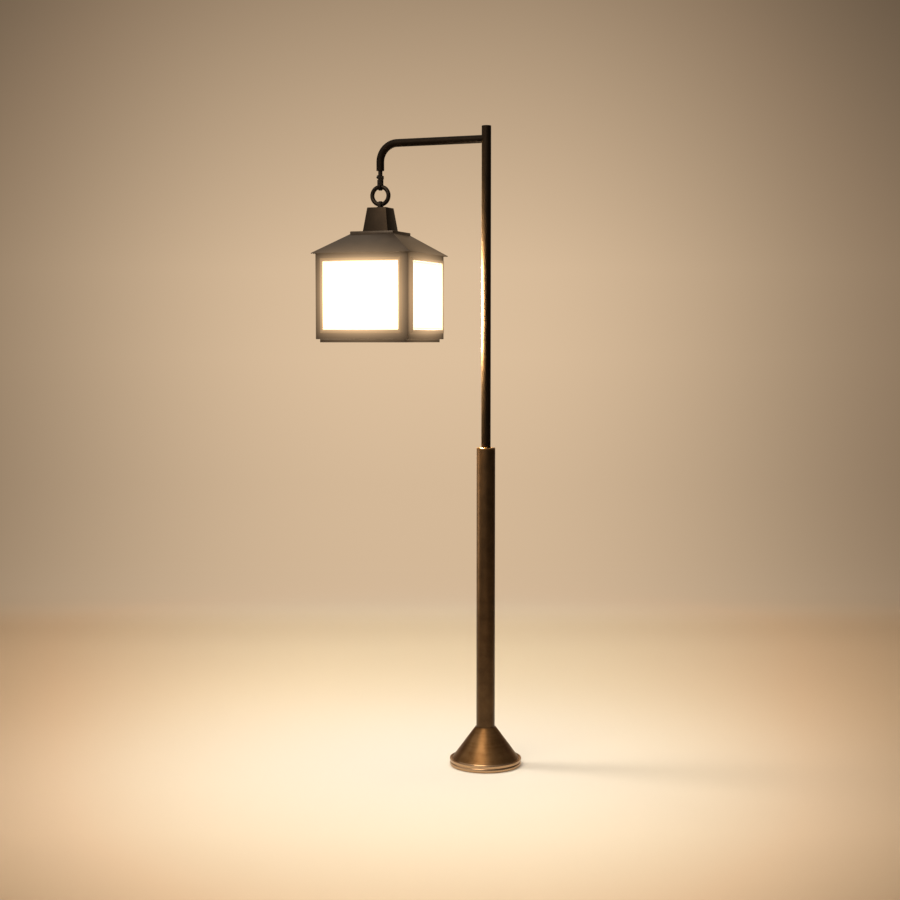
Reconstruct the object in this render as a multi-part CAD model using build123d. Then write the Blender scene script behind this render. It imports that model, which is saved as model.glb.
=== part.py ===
from build123d import *
import math
import os

# Garden post light: a stepped round post on a spun cone foot, a bent arm, a swivel hook,
# a ring and a square lantern that hangs from it.
# Millimetres. +Z is up and the origin is the centre of the foot on the ground.
# The arm reaches to -X, and the lantern's front faces -Y.

# Clearance between pieces that move against each other
HANG_GAP = 0.3

# Post
TOTAL_HEIGHT = 1456.0
LOWER_POST_RADIUS = 21.2
LOWER_POST_WALL = 2.6
LOWER_POST_FOOT_Z = 14.0
LOWER_POST_TOP_Z = 728.2
POST_STEP_Z = 731.4
UPPER_POST_RADIUS = 10.65
UPPER_POST_WALL = 2.3
UPPER_POST_FOOT_Z = 596.0
CAP_SEAT_Z = TOTAL_HEIGHT - 3.0

# Foot and the cone cover over it
GASKET_THICKNESS = 2.0
FOOT_RADIUS = 75.0
FOOT_CONE_GAP = 3.0
FOOT_SEAT_Z = 71.0
FOOT_HUB_Z = 79.0
ANCHOR_CIRCLE_RADIUS = 56.0
ANCHOR_HOLE_RADIUS = 4.5
ANCHOR_POCKET_RADIUS = 10.5
COVER_TOP_Z = 88.0
COVER_FOOT_Z = 16.2
COVER_FOOT_RADIUS = 76.5
COVER_RIM_RADIUS = 82.4
COVER_RIM_Z = 0.8
COVER_WALL = 1.5
CONE_APEX_Z = 120.6
CONE_SLOPE = COVER_FOOT_RADIUS / (CONE_APEX_Z - COVER_FOOT_Z)
COVER_RADIAL_WALL = COVER_WALL * math.sqrt(1 + CONE_SLOPE ** 2)
COVER_HOLE_RADIUS = LOWER_POST_RADIUS + 0.3

# Arm
REACH = 259.0
ARM_Z = 1426.0
ARM_RADIUS = 9.0
ARM_WALL = 2.0
ARM_BEND_RADIUS = 42.0
ARM_END_Z = 1364.0

# Swivel and hook, on the hanging axis
STEM_RADIUS = 5.0
HOOK_TOP_Z = 1353.4
HOOK_BLOCK_Z = 1345.5
HOOK_WIDTH = 7.3
HOOK_THICKNESS = 3.5
HOOK_INNER_RADIUS = 6.9
GATE_PIVOT_Y = -8.0
GATE_PIVOT_Z = 1349.3
CROWN_RADIUS = 6.5

# Ring
RING_Z = 1307.4
RING_RADIUS = 20.2
RING_WIRE_RADIUS = 4.9
RING_HOLE_RADIUS = RING_RADIUS - RING_WIRE_RADIUS
HOOK_ARC_Z = RING_Z + RING_HOLE_RADIUS - HANG_GAP + HOOK_INNER_RADIUS

# Lantern, on the hanging axis
BODY_HALF = 113.0
SHEET = 1.6
FLANGE = 13.5
FRAME_BOTTOM_Z = 977.5
EAVE_HALF = 120.8
EAVE_Z = 1171.0
ROOF_TOP_HALF = 53.3
ROOF_TOP_Z = 1217.5
ROOF_DROP = 1.46
PLATE_TOP_Z = 1223.7
PLATE_SHEET = 1.6
CAP_FOOT_HALF = 31.5
CAP_TOP_HALF = 23.5
CAP_TOP_Z = 1279.5
CAP_WALL = 2.0
ROOF_SLOPE = (ROOF_TOP_Z - EAVE_Z) / (EAVE_HALF - ROOF_TOP_HALF)
FRAME_TOP_Z = EAVE_Z + (EAVE_HALF - BODY_HALF) * ROOF_SLOPE - ROOF_DROP - 0.1
TOP_RAIL_HEIGHT = 14.3
BOTTOM_RAIL_HEIGHT = 13.5
TOP_LEDGE = 13.5
BOTTOM_LEDGE = 20.0

# Eye that carries the lantern
EYE_WIDTH = 8.0
EYE_THICKNESS = 2.6
EYE_INNER_RADIUS = 5.8
EYE_COLLAR_RADIUS = 10.0
EYE_COLLAR_TOP_Z = 1281.0
EYE_ARC_Z = RING_Z - RING_HOLE_RADIUS + HANG_GAP - EYE_INNER_RADIUS
ROD_RADIUS = 4.0
ROD_END_Z = 1152.0

# Glazing
WINDOW_HALF = 92.0
WINDOW_BOTTOM_Z = 999.5
WINDOW_TOP_Z = 1152.5
GLAZING_HALF = 104.8
GLAZING_BOTTOM_Z = FRAME_BOTTOM_Z + SHEET
GLAZING_TOP_Z = 1168.4
GLAZING_FLANGE = 1.4
GLAZING_PROUD = 6.0
GLAZING_WALL = 2.0
GLAZING_BEVEL = 1.0
GLAZING_EDGE = 0.6
GLAZING_FIT = 0.3
PANE_THICKNESS = 2.5
PANE_FIT = 0.2

# Light engine
BRIDGE_HALF_LENGTH = 111.2
BRIDGE_HALF_WIDTH = 14.0
BRIDGE_THICKNESS = 4.0
NUT_FLATS = 13.0
NUT_HEIGHT = 6.5
ENGINE_PLATE_RADIUS = 55.0
ENGINE_PLATE_THICKNESS = 2.0
CORE_HALF = 12.0
CORE_WALL = 2.0
DIFFUSER_RADIUS = 32.0
DIFFUSER_WALL = 2.0
DIFFUSER_FOOT_Z = 1010.0
DIFFUSER_CAP_THICKNESS = 5.0
BUTTON_RADIUS = 5.9
BUTTON_TRAVEL = 1.5
BRIDGE_TOP_Z = FRAME_TOP_Z - SHEET
BRIDGE_BOTTOM_Z = BRIDGE_TOP_Z - BRIDGE_THICKNESS
ENGINE_PLATE_TOP_Z = BRIDGE_BOTTOM_Z - NUT_HEIGHT
ENGINE_PLATE_Z = ENGINE_PLATE_TOP_Z - ENGINE_PLATE_THICKNESS
CAP_FACE_Z = DIFFUSER_FOOT_Z - DIFFUSER_CAP_THICKNESS

# Bottom hatch
TRAY_HALF = 106.0
TRAY_BOTTOM_Z = 970.0
TRAY_TOP_Z = FRAME_BOTTOM_Z - 0.3
TRAY_SHEET = 1.2
HINGE_Y = 110.0
HINGE_Z = 973.6
KNUCKLE_RADIUS = 3.2
HINGE_PIN_RADIUS = 1.5
HINGE_HALF_LENGTH = 60.0


# Basic shapes

def block(x_range, y_range, z_range):
    """A box between two values on each axis."""
    (x0, x1), (y0, y1), (z0, z1) = x_range, y_range, z_range
    centre = Pos((x0 + x1) / 2, (y0 + y1) / 2, (z0 + z1) / 2)
    return centre * Box(x1 - x0, y1 - y0, z1 - z0)


def rod(radius, z0, z1, x=0.0, y=0.0):
    """An upright cylinder."""
    return Pos(x, y, (z0 + z1) / 2) * Cylinder(radius, z1 - z0)


def rod_x(radius, x0, x1, y, z):
    """A cylinder along X."""
    return Pos((x0 + x1) / 2, y, z) * Rot(0, 90, 0) * Cylinder(radius, x1 - x0)


def rod_y(radius, y0, y1, x, z):
    """A cylinder along Y."""
    return Pos(x, (y0 + y1) / 2, z) * Rot(90, 0, 0) * Cylinder(radius, y1 - y0)


def hexagon_rod(flats, z0, z1):
    """An upright hexagonal bar, measured across its flats."""
    corner_radius = flats / 2 / math.cos(math.pi / 6)
    face = Plane.XY.offset(z0) * RegularPolygon(corner_radius, 6)
    return extrude(face, amount=z1 - z0)


def square_taper(half0, z0, half1, z1):
    """A pyramid cut off between two heights, with a square base."""
    lower = Plane.XY.offset(z0) * Rectangle(2 * half0, 2 * half0)
    upper = Plane.XY.offset(z1) * Rectangle(2 * half1, 2 * half1)
    return loft([lower, upper], ruled=True)


def turned(edges):
    """A round solid from the closed outline of its half section in X and Z."""
    return revolve(make_face(edges), axis=Axis.Z, revolution_arc=360)


def turned_polygon(points):
    """A round solid from the corners (radius, height) of its half section."""
    return turned(Plane.XZ * Polyline([(r, z) for r, z in points], close=True))


def cone_radius(z, inset=0.0):
    """Radius of the cover's cone at a height, less an inset."""
    return CONE_SLOPE * (CONE_APEX_Z - z) - inset


def grub_screw(radius, length, socket_flats):
    """A headless screw along +Z from its point, with a hexagon socket at the far end."""
    socket_depth = length * 0.45
    body = chamfer(rod(radius, 0, length).edges().filter_by(GeomType.CIRCLE), 0.5)
    return body - hexagon_rod(socket_flats, length - socket_depth, length + 1)


def at_lantern(shape):
    """Moves a shape from the origin's axis to the hanging axis."""
    return Pos(-REACH, 0, 0) * shape


def on_side(shape, quarter):
    """Turns a shape of the front side to another side: 1 right, 2 rear, 3 left."""
    return Rot(0, 0, 90 * quarter) * shape


def four_sides(shape):
    """The same shape on all four sides, as separate solids."""
    return Compound([on_side(shape, quarter) for quarter in range(4)])


# Foot and cover

ANCHOR_ANGLES = (45, 135, 225, 315)
FOOT_SCREW_ANGLES = (90, 270)
FOOT_SCREW_Z = 64.0
FOOT_SCREW_RADIUS = 4.0
FOOT_SCREW_LENGTH = 12.0


def anchor_places(shape):
    """Copies an upright shape to the four anchor holes."""
    return [Rot(0, 0, a) * Pos(ANCHOR_CIRCLE_RADIUS, 0, 0) * shape for a in ANCHOR_ANGLES]


def foot_gasket():
    pad = rod(FOOT_RADIUS, 0, GASKET_THICKNESS)
    for hole in anchor_places(rod(ANCHOR_HOLE_RADIUS + 0.5, -1, GASKET_THICKNESS + 1)):
        pad -= hole
    return pad


def foot_casting():
    """Heavy foot under the cover, with the post's socket and a seat that the cover rests on."""
    bottom = GASKET_THICKNESS
    edge_z = CONE_APEX_Z - (FOOT_RADIUS + FOOT_CONE_GAP) / CONE_SLOPE
    seat_gap = COVER_RADIAL_WALL + HANG_GAP * math.hypot(1, CONE_SLOPE)
    casting = turned_polygon([
        (0, bottom),
        (FOOT_RADIUS - 1, bottom),
        (FOOT_RADIUS, bottom + 1),
        (FOOT_RADIUS, edge_z),
        (cone_radius(FOOT_SEAT_Z, FOOT_CONE_GAP), FOOT_SEAT_Z),
        (cone_radius(FOOT_SEAT_Z, seat_gap), FOOT_SEAT_Z),
        (cone_radius(FOOT_HUB_Z, seat_gap), FOOT_HUB_Z),
        (LOWER_POST_RADIUS, FOOT_HUB_Z),
        (LOWER_POST_RADIUS, LOWER_POST_FOOT_Z),
        (0, LOWER_POST_FOOT_Z),
    ])
    pocket = rod(ANCHOR_POCKET_RADIUS, LOWER_POST_FOOT_Z, FOOT_HUB_Z)
    for hole in anchor_places(rod(ANCHOR_HOLE_RADIUS, 0, FOOT_HUB_Z) + pocket):
        casting -= hole
    outside = cone_radius(FOOT_SCREW_Z)
    for angle in FOOT_SCREW_ANGLES:
        casting -= Rot(0, 0, angle) * rod_x(
            FOOT_SCREW_RADIUS, LOWER_POST_RADIUS - 1, outside, 0, FOOT_SCREW_Z)
    return casting


def foot_set_screws():
    screw = Rot(0, 90, 0) * grub_screw(FOOT_SCREW_RADIUS, FOOT_SCREW_LENGTH, 4.0)
    placed = Pos(LOWER_POST_RADIUS, 0, FOOT_SCREW_Z) * screw
    return Compound([Rot(0, 0, angle) * placed for angle in FOOT_SCREW_ANGLES])


def base_cover():
    """Spun cone in a gutter, inside an upturned lip with a bead below it."""
    rim_hole = COVER_FOOT_RADIUS - 0.5
    inner_corner_z = CONE_APEX_Z - (rim_hole + COVER_RADIAL_WALL) / CONE_SLOPE
    inner_top_z = CONE_APEX_Z - (COVER_HOLE_RADIUS + COVER_RADIAL_WALL) / CONE_SLOPE
    lip_inside = (79.6, 15.7)
    lip_outside = (82.2, 15.7)
    groove = (81.0, 9.6)
    outline = [
        Line((COVER_HOLE_RADIUS, COVER_TOP_Z), (cone_radius(COVER_TOP_Z), COVER_TOP_Z)),
        Line((cone_radius(COVER_TOP_Z), COVER_TOP_Z), (COVER_FOOT_RADIUS, COVER_FOOT_Z)),
        ThreePointArc((COVER_FOOT_RADIUS, COVER_FOOT_Z), (78.2, 14.3), lip_inside),
        ThreePointArc(lip_inside, (80.9, 17.0), lip_outside),
        ThreePointArc(lip_outside, (82.2, 12.4), groove),
        ThreePointArc(groove, (COVER_RIM_RADIUS, 5.2), (81.0, COVER_RIM_Z)),
        Line((81.0, COVER_RIM_Z), (rim_hole, COVER_RIM_Z)),
        Line((rim_hole, COVER_RIM_Z), (rim_hole, inner_corner_z)),
        Line((rim_hole, inner_corner_z), (COVER_HOLE_RADIUS, inner_top_z)),
        Line((COVER_HOLE_RADIUS, inner_top_z), (COVER_HOLE_RADIUS, COVER_TOP_Z)),
    ]
    return turned([Plane.XZ * edge for edge in outline])


def cover_seal():
    bore = LOWER_POST_RADIUS + 0.05
    top_z = COVER_TOP_Z - 3.2
    return turned_polygon([(bore, top_z - 5), (bore + 2.4, top_z - 5), (bore + 0.9, top_z), (bore, top_z)])


# Post

POST_SCREW_RADIUS = 3.0
POST_SCREW_HEIGHTS = (610.0, 690.0, 712.0)
BUSH_LENGTH = 52.0
GUIDE_BUSH_Z = UPPER_POST_FOOT_Z - 6.0
GUIDE_BUSH_TOP_Z = 626.0


def post_screw_holes():
    """Threaded holes at the back of the post, one for each set screw."""
    holes = [rod_y(POST_SCREW_RADIUS, UPPER_POST_RADIUS, LOWER_POST_RADIUS + 1, 0, z)
             for z in POST_SCREW_HEIGHTS]
    return Compound(holes)


def lower_post():
    tube = rod(LOWER_POST_RADIUS, LOWER_POST_FOOT_Z, LOWER_POST_TOP_Z)
    bore = rod(LOWER_POST_RADIUS - LOWER_POST_WALL, LOWER_POST_FOOT_Z - 1, LOWER_POST_TOP_Z + 1)
    return tube - bore - post_screw_holes()


def guide_bush():
    """Bush deep in the lower post, with the floor that the upper post stands on."""
    bush = rod(LOWER_POST_RADIUS - LOWER_POST_WALL, GUIDE_BUSH_Z, GUIDE_BUSH_TOP_Z)
    bush -= rod(UPPER_POST_RADIUS, UPPER_POST_FOOT_Z, GUIDE_BUSH_TOP_Z + 1)
    bush -= rod(5.0, GUIDE_BUSH_Z - 1, UPPER_POST_FOOT_Z + 1)
    return bush - post_screw_holes()


def post_top_bush():
    """Reducer at the step of the post. Its flange is the bright ring on the thick tube."""
    flange = rod(LOWER_POST_RADIUS, LOWER_POST_TOP_Z, POST_STEP_Z)
    flange = chamfer(flange.edges().group_by(Axis.Z)[-1], 0.8)
    inner_radius = LOWER_POST_RADIUS - LOWER_POST_WALL
    bush = flange + rod(inner_radius, LOWER_POST_TOP_Z - BUSH_LENGTH, LOWER_POST_TOP_Z)
    bush -= rod(UPPER_POST_RADIUS, LOWER_POST_TOP_Z - BUSH_LENGTH - 1, POST_STEP_Z + 1)
    return bush - post_screw_holes()


def post_set_screws():
    length = LOWER_POST_RADIUS - UPPER_POST_RADIUS - 0.6
    screw = Rot(-90, 0, 0) * grub_screw(POST_SCREW_RADIUS, length, 3.0)
    return Compound([Pos(0, UPPER_POST_RADIUS, z) * screw for z in POST_SCREW_HEIGHTS])


def upper_post():
    tube = rod(UPPER_POST_RADIUS, UPPER_POST_FOOT_Z, CAP_SEAT_Z)
    tube -= rod(UPPER_POST_RADIUS - UPPER_POST_WALL, UPPER_POST_FOOT_Z - 1, CAP_SEAT_Z + 1)
    return tube - rod_x(STUD_RADIUS, -UPPER_POST_RADIUS - 1, 0, 0, ARM_Z)


def post_cap():
    """Plug with a slightly domed head."""
    rim = UPPER_POST_RADIUS - 0.4
    rim_z = TOTAL_HEIGHT - 0.8
    dome_radius = (rim ** 2 + (TOTAL_HEIGHT - rim_z) ** 2) / 2 / (TOTAL_HEIGHT - rim_z)
    head = turned_polygon([
        (0, CAP_SEAT_Z), (UPPER_POST_RADIUS, CAP_SEAT_Z), (UPPER_POST_RADIUS, rim_z - 0.4),
        (rim, rim_z), (rim, TOTAL_HEIGHT), (0, TOTAL_HEIGHT)])
    head &= Pos(0, 0, TOTAL_HEIGHT - dome_radius) * Sphere(dome_radius)
    return head + rod(UPPER_POST_RADIUS - UPPER_POST_WALL, CAP_SEAT_Z - 5.5, CAP_SEAT_Z)


# Arm and its joint with the post

STUD_RADIUS = 5.0
STUD_END_X = 5.0
STUD_SHOULDER_X = -12.0
STUD_PLUG_X = -44.0
INSERT_BOTTOM_Z = 1396.0
INSERT_TOP_Z = 1446.0
LOCK_FLAT_Z = ARM_Z + STUD_RADIUS - 0.5
LOCK_SCREW_LENGTH = 12.5


def arm_form(radius, end_z):
    """The arm's run, bend and leg as one solid of the given radius."""
    bend_x = -REACH + ARM_BEND_RADIUS
    bend_z = ARM_Z - ARM_BEND_RADIUS
    run = rod_x(radius, bend_x, 0, 0, ARM_Z)
    section = Plane(origin=(bend_x, 0, ARM_Z), x_dir=(0, 1, 0), z_dir=(-1, 0, 0)) * Circle(radius)
    bend = revolve(section, axis=Axis((bend_x, 0, bend_z), (0, -1, 0)), revolution_arc=90)
    leg = rod(radius, end_z, bend_z, x=-REACH)
    return run + bend + leg


def arm():
    tube = arm_form(ARM_RADIUS, ARM_END_Z) - arm_form(ARM_RADIUS - ARM_WALL, ARM_END_Z - 1)
    return tube - rod(UPPER_POST_RADIUS, ARM_Z - 30, ARM_Z + 30)


def arm_stud():
    spigot = rod_x(STUD_RADIUS, STUD_SHOULDER_X, STUD_END_X, 0, ARM_Z)
    plug = rod_x(ARM_RADIUS - ARM_WALL, STUD_PLUG_X, STUD_SHOULDER_X, 0, ARM_Z)
    flat = block((-5, STUD_END_X + 1), (-6, 6), (LOCK_FLAT_Z, LOCK_FLAT_Z + 2))
    return spigot + plug - flat


def post_top_insert():
    insert = rod(UPPER_POST_RADIUS - UPPER_POST_WALL, INSERT_BOTTOM_Z, INSERT_TOP_Z)
    insert -= rod_x(STUD_RADIUS, -UPPER_POST_RADIUS, STUD_END_X, 0, ARM_Z)
    return insert - rod(ROD_RADIUS, ARM_Z, INSERT_TOP_Z + 1)


def arm_lock_screw():
    return Pos(0, 0, LOCK_FLAT_Z) * grub_screw(ROD_RADIUS, LOCK_SCREW_LENGTH, 4.0)


# Swivel

BUSH_TOP_Z = ARM_END_Z + 12.3
STEM_SHOULDER_Z = BUSH_TOP_Z + 0.3
STEM_THREAD_RADIUS = 3.0
THRUST_WASHER_THICKNESS = 1.0
STEM_NUT_HEIGHT = 5.0
STEM_TOP_Z = STEM_SHOULDER_Z + THRUST_WASHER_THICKNESS + STEM_NUT_HEIGHT + 0.8
STEM_SOCKET_Z = HOOK_TOP_Z - 6.5


def arm_end_bush():
    bush = rod(ARM_RADIUS - ARM_WALL, ARM_END_Z, BUSH_TOP_Z)
    bush -= rod(STEM_RADIUS + 0.05, ARM_END_Z - 1, BUSH_TOP_Z + 1)
    return at_lantern(bush)


def swivel_stem():
    shaft = rod(STEM_RADIUS, HOOK_TOP_Z, STEM_SHOULDER_Z)
    threads = rod(STEM_THREAD_RADIUS, STEM_SOCKET_Z, STEM_TOP_Z)
    return at_lantern(shaft + threads)


def thrust_washer():
    washer = rod(ARM_RADIUS - ARM_WALL - 0.3, STEM_SHOULDER_Z, STEM_SHOULDER_Z + THRUST_WASHER_THICKNESS)
    return at_lantern(washer - rod(STEM_THREAD_RADIUS, STEM_SHOULDER_Z - 1, STEM_SHOULDER_Z + 2))


def stem_nut():
    foot_z = STEM_SHOULDER_Z + THRUST_WASHER_THICKNESS
    nut = hexagon_rod(10.0, foot_z, foot_z + STEM_NUT_HEIGHT)
    return at_lantern(nut - rod(STEM_THREAD_RADIUS, foot_z - 1, foot_z + STEM_NUT_HEIGHT + 1))


# Hook, gate and ring

BLOCK_HALF_DEPTH = HOOK_INNER_RADIUS + HOOK_THICKNESS
BLOCK_HALF_WIDTH = 5.0
NOSE_TOP_Z = 1334.2
NOSE_INNER_Z = 1330.9
GATE_SHOULDER_Z = 1342.8
GATE_TONGUE_HALF = 1.7
GATE_SLOT_HALF = 2.0
GATE_SLOT_END_Y = -3.5
GATE_PIN_RADIUS = 1.2
GATE_PIN_HEAD_RADIUS = 2.2


def crowned_section(width, inner_radius, thickness, arc_z):
    """Half-round section of a bent bar: crowned inside, flat outside, at +Y of the bend."""
    drop = CROWN_RADIUS - math.sqrt(CROWN_RADIUS ** 2 - (width / 2) ** 2)
    corner = 0.8
    half = width / 2
    outer = inner_radius + thickness
    shoulder = inner_radius + drop
    plane = Plane.XY.offset(arc_z)
    edges = [
        ThreePointArc((half, shoulder), (0, inner_radius), (-half, shoulder)),
        Line((-half, shoulder), (-half, outer - corner)),
        Line((-half, outer - corner), (-half + corner, outer)),
        Line((-half + corner, outer), (half - corner, outer)),
        Line((half - corner, outer), (half, outer - corner)),
        Line((half, outer - corner), (half, shoulder)),
    ]
    return make_face([plane * edge for edge in edges])


def hook_body():
    section = crowned_section(HOOK_WIDTH, HOOK_INNER_RADIUS, HOOK_THICKNESS, HOOK_ARC_Z)
    bend = revolve(section, axis=Axis((0, 0, HOOK_ARC_Z), (-1, 0, 0)), revolution_arc=180)
    back = extrude(section, amount=HOOK_BLOCK_Z + 1 - HOOK_ARC_Z, dir=(0, 0, 1))
    nose = extrude(mirror(section, about=Plane.XZ), amount=NOSE_TOP_Z - HOOK_ARC_Z, dir=(0, 0, 1))
    slope = Polyline(
        (-BLOCK_HALF_DEPTH - 1, NOSE_TOP_Z + 1),
        (-BLOCK_HALF_DEPTH - 1, NOSE_TOP_Z),
        (-BLOCK_HALF_DEPTH + 0.4, NOSE_TOP_Z - 0.4),
        (-HOOK_INNER_RADIUS + 2, NOSE_INNER_Z - 2.0),
        (-HOOK_INNER_RADIUS + 2, NOSE_TOP_Z + 1),
        close=True)
    cutter = extrude(make_face(Plane.YZ * slope), amount=HOOK_WIDTH, both=True)
    head = block((-BLOCK_HALF_WIDTH, BLOCK_HALF_WIDTH), (-BLOCK_HALF_DEPTH, BLOCK_HALF_DEPTH),
                 (HOOK_BLOCK_Z, HOOK_TOP_Z))
    head = fillet(head.edges().filter_by(Axis.Z), 2.0)
    head = chamfer(head.edges().group_by(Axis.Z)[-1], 1.0)
    hook = bend + back + (nose - cutter) + head
    hook -= block((-GATE_SLOT_HALF, GATE_SLOT_HALF), (-BLOCK_HALF_DEPTH - 1, GATE_SLOT_END_Y),
                  (HOOK_BLOCK_Z - 1, HOOK_TOP_Z - 1.0))
    hook -= rod_x(GATE_PIN_RADIUS, -BLOCK_HALF_WIDTH - 1, BLOCK_HALF_WIDTH + 1, GATE_PIVOT_Y, GATE_PIVOT_Z)
    hook -= rod(STEM_THREAD_RADIUS, STEM_SOCKET_Z, HOOK_TOP_Z + 1)
    return at_lantern(hook)


def gate_pin():
    pin = rod_x(GATE_PIN_RADIUS, -BLOCK_HALF_WIDTH, BLOCK_HALF_WIDTH, GATE_PIVOT_Y, GATE_PIVOT_Z)
    head = rod_x(GATE_PIN_HEAD_RADIUS, -BLOCK_HALF_WIDTH - 1.4, -BLOCK_HALF_WIDTH, GATE_PIVOT_Y, GATE_PIVOT_Z)
    head = chamfer(head.edges().group_by(Axis.X)[0], 0.6)
    return at_lantern(pin + head)


def hook_gate():
    """Sprung gate that closes the hook's mouth. It swings inwards only."""
    lap = 0.42
    outline = Polyline(
        (-BLOCK_HALF_DEPTH, GATE_SHOULDER_Z),
        (-BLOCK_HALF_DEPTH, NOSE_TOP_Z + lap),
        (-BLOCK_HALF_DEPTH + 0.6, NOSE_TOP_Z + lap - 0.6),
        (-HOOK_INNER_RADIUS, NOSE_INNER_Z + lap),
        (-HOOK_INNER_RADIUS, GATE_SHOULDER_Z),
        close=True)
    leaf = extrude(make_face(Plane.YZ * outline), amount=HOOK_WIDTH / 2, both=True)
    leaf = chamfer(leaf.edges().filter_by(Axis.Z), 0.6)
    tongue = block((-GATE_TONGUE_HALF, GATE_TONGUE_HALF), (-BLOCK_HALF_DEPTH, -HOOK_INNER_RADIUS),
                   (GATE_SHOULDER_Z - 1, GATE_PIVOT_Z))
    tongue += rod_x(2.4, -GATE_TONGUE_HALF, GATE_TONGUE_HALF, GATE_PIVOT_Y, GATE_PIVOT_Z)
    gate = leaf + tongue
    gate -= rod_x(GATE_PIN_RADIUS + 0.05, -BLOCK_HALF_WIDTH, BLOCK_HALF_WIDTH, GATE_PIVOT_Y, GATE_PIVOT_Z)
    return at_lantern(gate)


def gate_spring():
    """Leaf spring under the hook's head, which presses the gate shut."""
    strip = Polyline(
        (5.5, HOOK_BLOCK_Z),
        (5.5, HOOK_BLOCK_Z - 0.5),
        (-2.2, HOOK_BLOCK_Z - 0.8),
        (-6.2, 1338.0),
        (-6.7, 1338.2),
        (-2.4, HOOK_BLOCK_Z),
        close=True)
    leaf = extrude(make_face(Plane.YZ * strip), amount=1.5, both=True)
    return at_lantern(leaf)


def hanging_ring():
    return at_lantern(Pos(0, 0, RING_Z) * Rot(90, 0, 0) * Torus(RING_RADIUS, RING_WIRE_RADIUS))


def hanger_eye():
    """Eye with a collar and a long threaded rod that holds the roof down on the frame."""
    section = crowned_section(EYE_WIDTH, EYE_INNER_RADIUS, EYE_THICKNESS, EYE_ARC_Z)
    arch = revolve(section, axis=Axis((0, 0, EYE_ARC_Z), (1, 0, 0)), revolution_arc=180)
    leg_length = EYE_ARC_Z - EYE_COLLAR_TOP_Z + 0.5
    leg = extrude(section, amount=leg_length, dir=(0, 0, -1))
    collar = rod(EYE_COLLAR_RADIUS, CAP_TOP_Z, EYE_COLLAR_TOP_Z)
    collar = chamfer(collar.edges().group_by(Axis.Z)[-1], 0.7)
    return at_lantern(arch + leg + mirror(leg, about=Plane.XZ) + collar + rod(ROD_RADIUS, ROD_END_Z, CAP_TOP_Z))


# Roof

ROD_HOLE_RADIUS = ROD_RADIUS + 0.25


def roof_cap():
    outer = square_taper(CAP_FOOT_HALF, PLATE_TOP_Z, CAP_TOP_HALF, CAP_TOP_Z)
    inner = square_taper(CAP_FOOT_HALF - CAP_WALL, PLATE_TOP_Z - 0.01,
                         CAP_TOP_HALF - CAP_WALL, CAP_TOP_Z - CAP_WALL)
    hole = rod(ROD_HOLE_RADIUS, CAP_TOP_Z - 5, CAP_TOP_Z + 1)
    return at_lantern(outer - inner - hole)


def roof_plate():
    """Shallow square pan, open below, between the roof and its cap."""
    plate = block((-ROOF_TOP_HALF, ROOF_TOP_HALF), (-ROOF_TOP_HALF, ROOF_TOP_HALF), (ROOF_TOP_Z, PLATE_TOP_Z))
    plate = chamfer(plate.edges().group_by(Axis.Z)[-1], 0.8)
    inner = ROOF_TOP_HALF - PLATE_SHEET
    plate -= block((-inner, inner), (-inner, inner), (ROOF_TOP_Z - 1, PLATE_TOP_Z - PLATE_SHEET))
    return at_lantern(plate - rod(ROD_HOLE_RADIUS, ROOF_TOP_Z - 1, PLATE_TOP_Z + 1))


def roof_shell():
    """Hipped sheet roof with a flat top, open below."""
    outer = square_taper(EAVE_HALF, EAVE_Z, ROOF_TOP_HALF, ROOF_TOP_Z)
    inner = Pos(0, 0, -ROOF_DROP) * outer
    return at_lantern(outer - inner - rod(ROD_HOLE_RADIUS, ROOF_TOP_Z - 5, ROOF_TOP_Z + 1))


def hanger_bridge():
    """Flat bar across the frame. The eye's rod pulls it up under the side ledges."""
    bar = block((-BRIDGE_HALF_LENGTH, BRIDGE_HALF_LENGTH), (-BRIDGE_HALF_WIDTH, BRIDGE_HALF_WIDTH),
                (BRIDGE_BOTTOM_Z, BRIDGE_TOP_Z))
    return at_lantern(bar - rod(ROD_RADIUS, BRIDGE_BOTTOM_Z - 1, BRIDGE_TOP_Z + 1))


def hanger_nuts():
    """One nut under the bridge, and one under the engine plate that it hangs."""
    nuts = []
    for foot_z in (ENGINE_PLATE_TOP_Z, ENGINE_PLATE_Z - NUT_HEIGHT):
        nut = hexagon_rod(NUT_FLATS, foot_z, foot_z + NUT_HEIGHT)
        nuts.append(nut - rod(ROD_RADIUS, foot_z - 1, foot_z + NUT_HEIGHT + 1))
    return at_lantern(Compound(nuts))


# Lantern frame

INNER_FACE = BODY_HALF - SHEET
BEND_RADIUS = 1.2


def corner_post():
    """Folded angle at the front right corner."""
    section = Pos(BODY_HALF - FLANGE / 2, -BODY_HALF + FLANGE / 2) * Rectangle(FLANGE, FLANGE)
    notch_centre = Pos(INNER_FACE - FLANGE / 2, -INNER_FACE + FLANGE / 2)
    section -= notch_centre * Rectangle(FLANGE, FLANGE)
    edge = section.vertices().sort_by(Axis.X)[-2:].sort_by(Axis.Y)[0]
    section = fillet(edge, BEND_RADIUS)
    return extrude(Plane.XY.offset(FRAME_BOTTOM_Z) * section, amount=FRAME_TOP_Z - FRAME_BOTTOM_Z)


def ledge(depth, z0, z1):
    """Mitred flange of a front rail, from the frame's inner face inwards."""
    inner = BODY_HALF - depth
    outline = Polyline(
        (-INNER_FACE, -INNER_FACE), (INNER_FACE, -INNER_FACE), (inner, -inner), (-inner, -inner),
        close=True)
    return extrude(Plane.XY.offset(z0) * make_face(outline), amount=z1 - z0)


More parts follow.
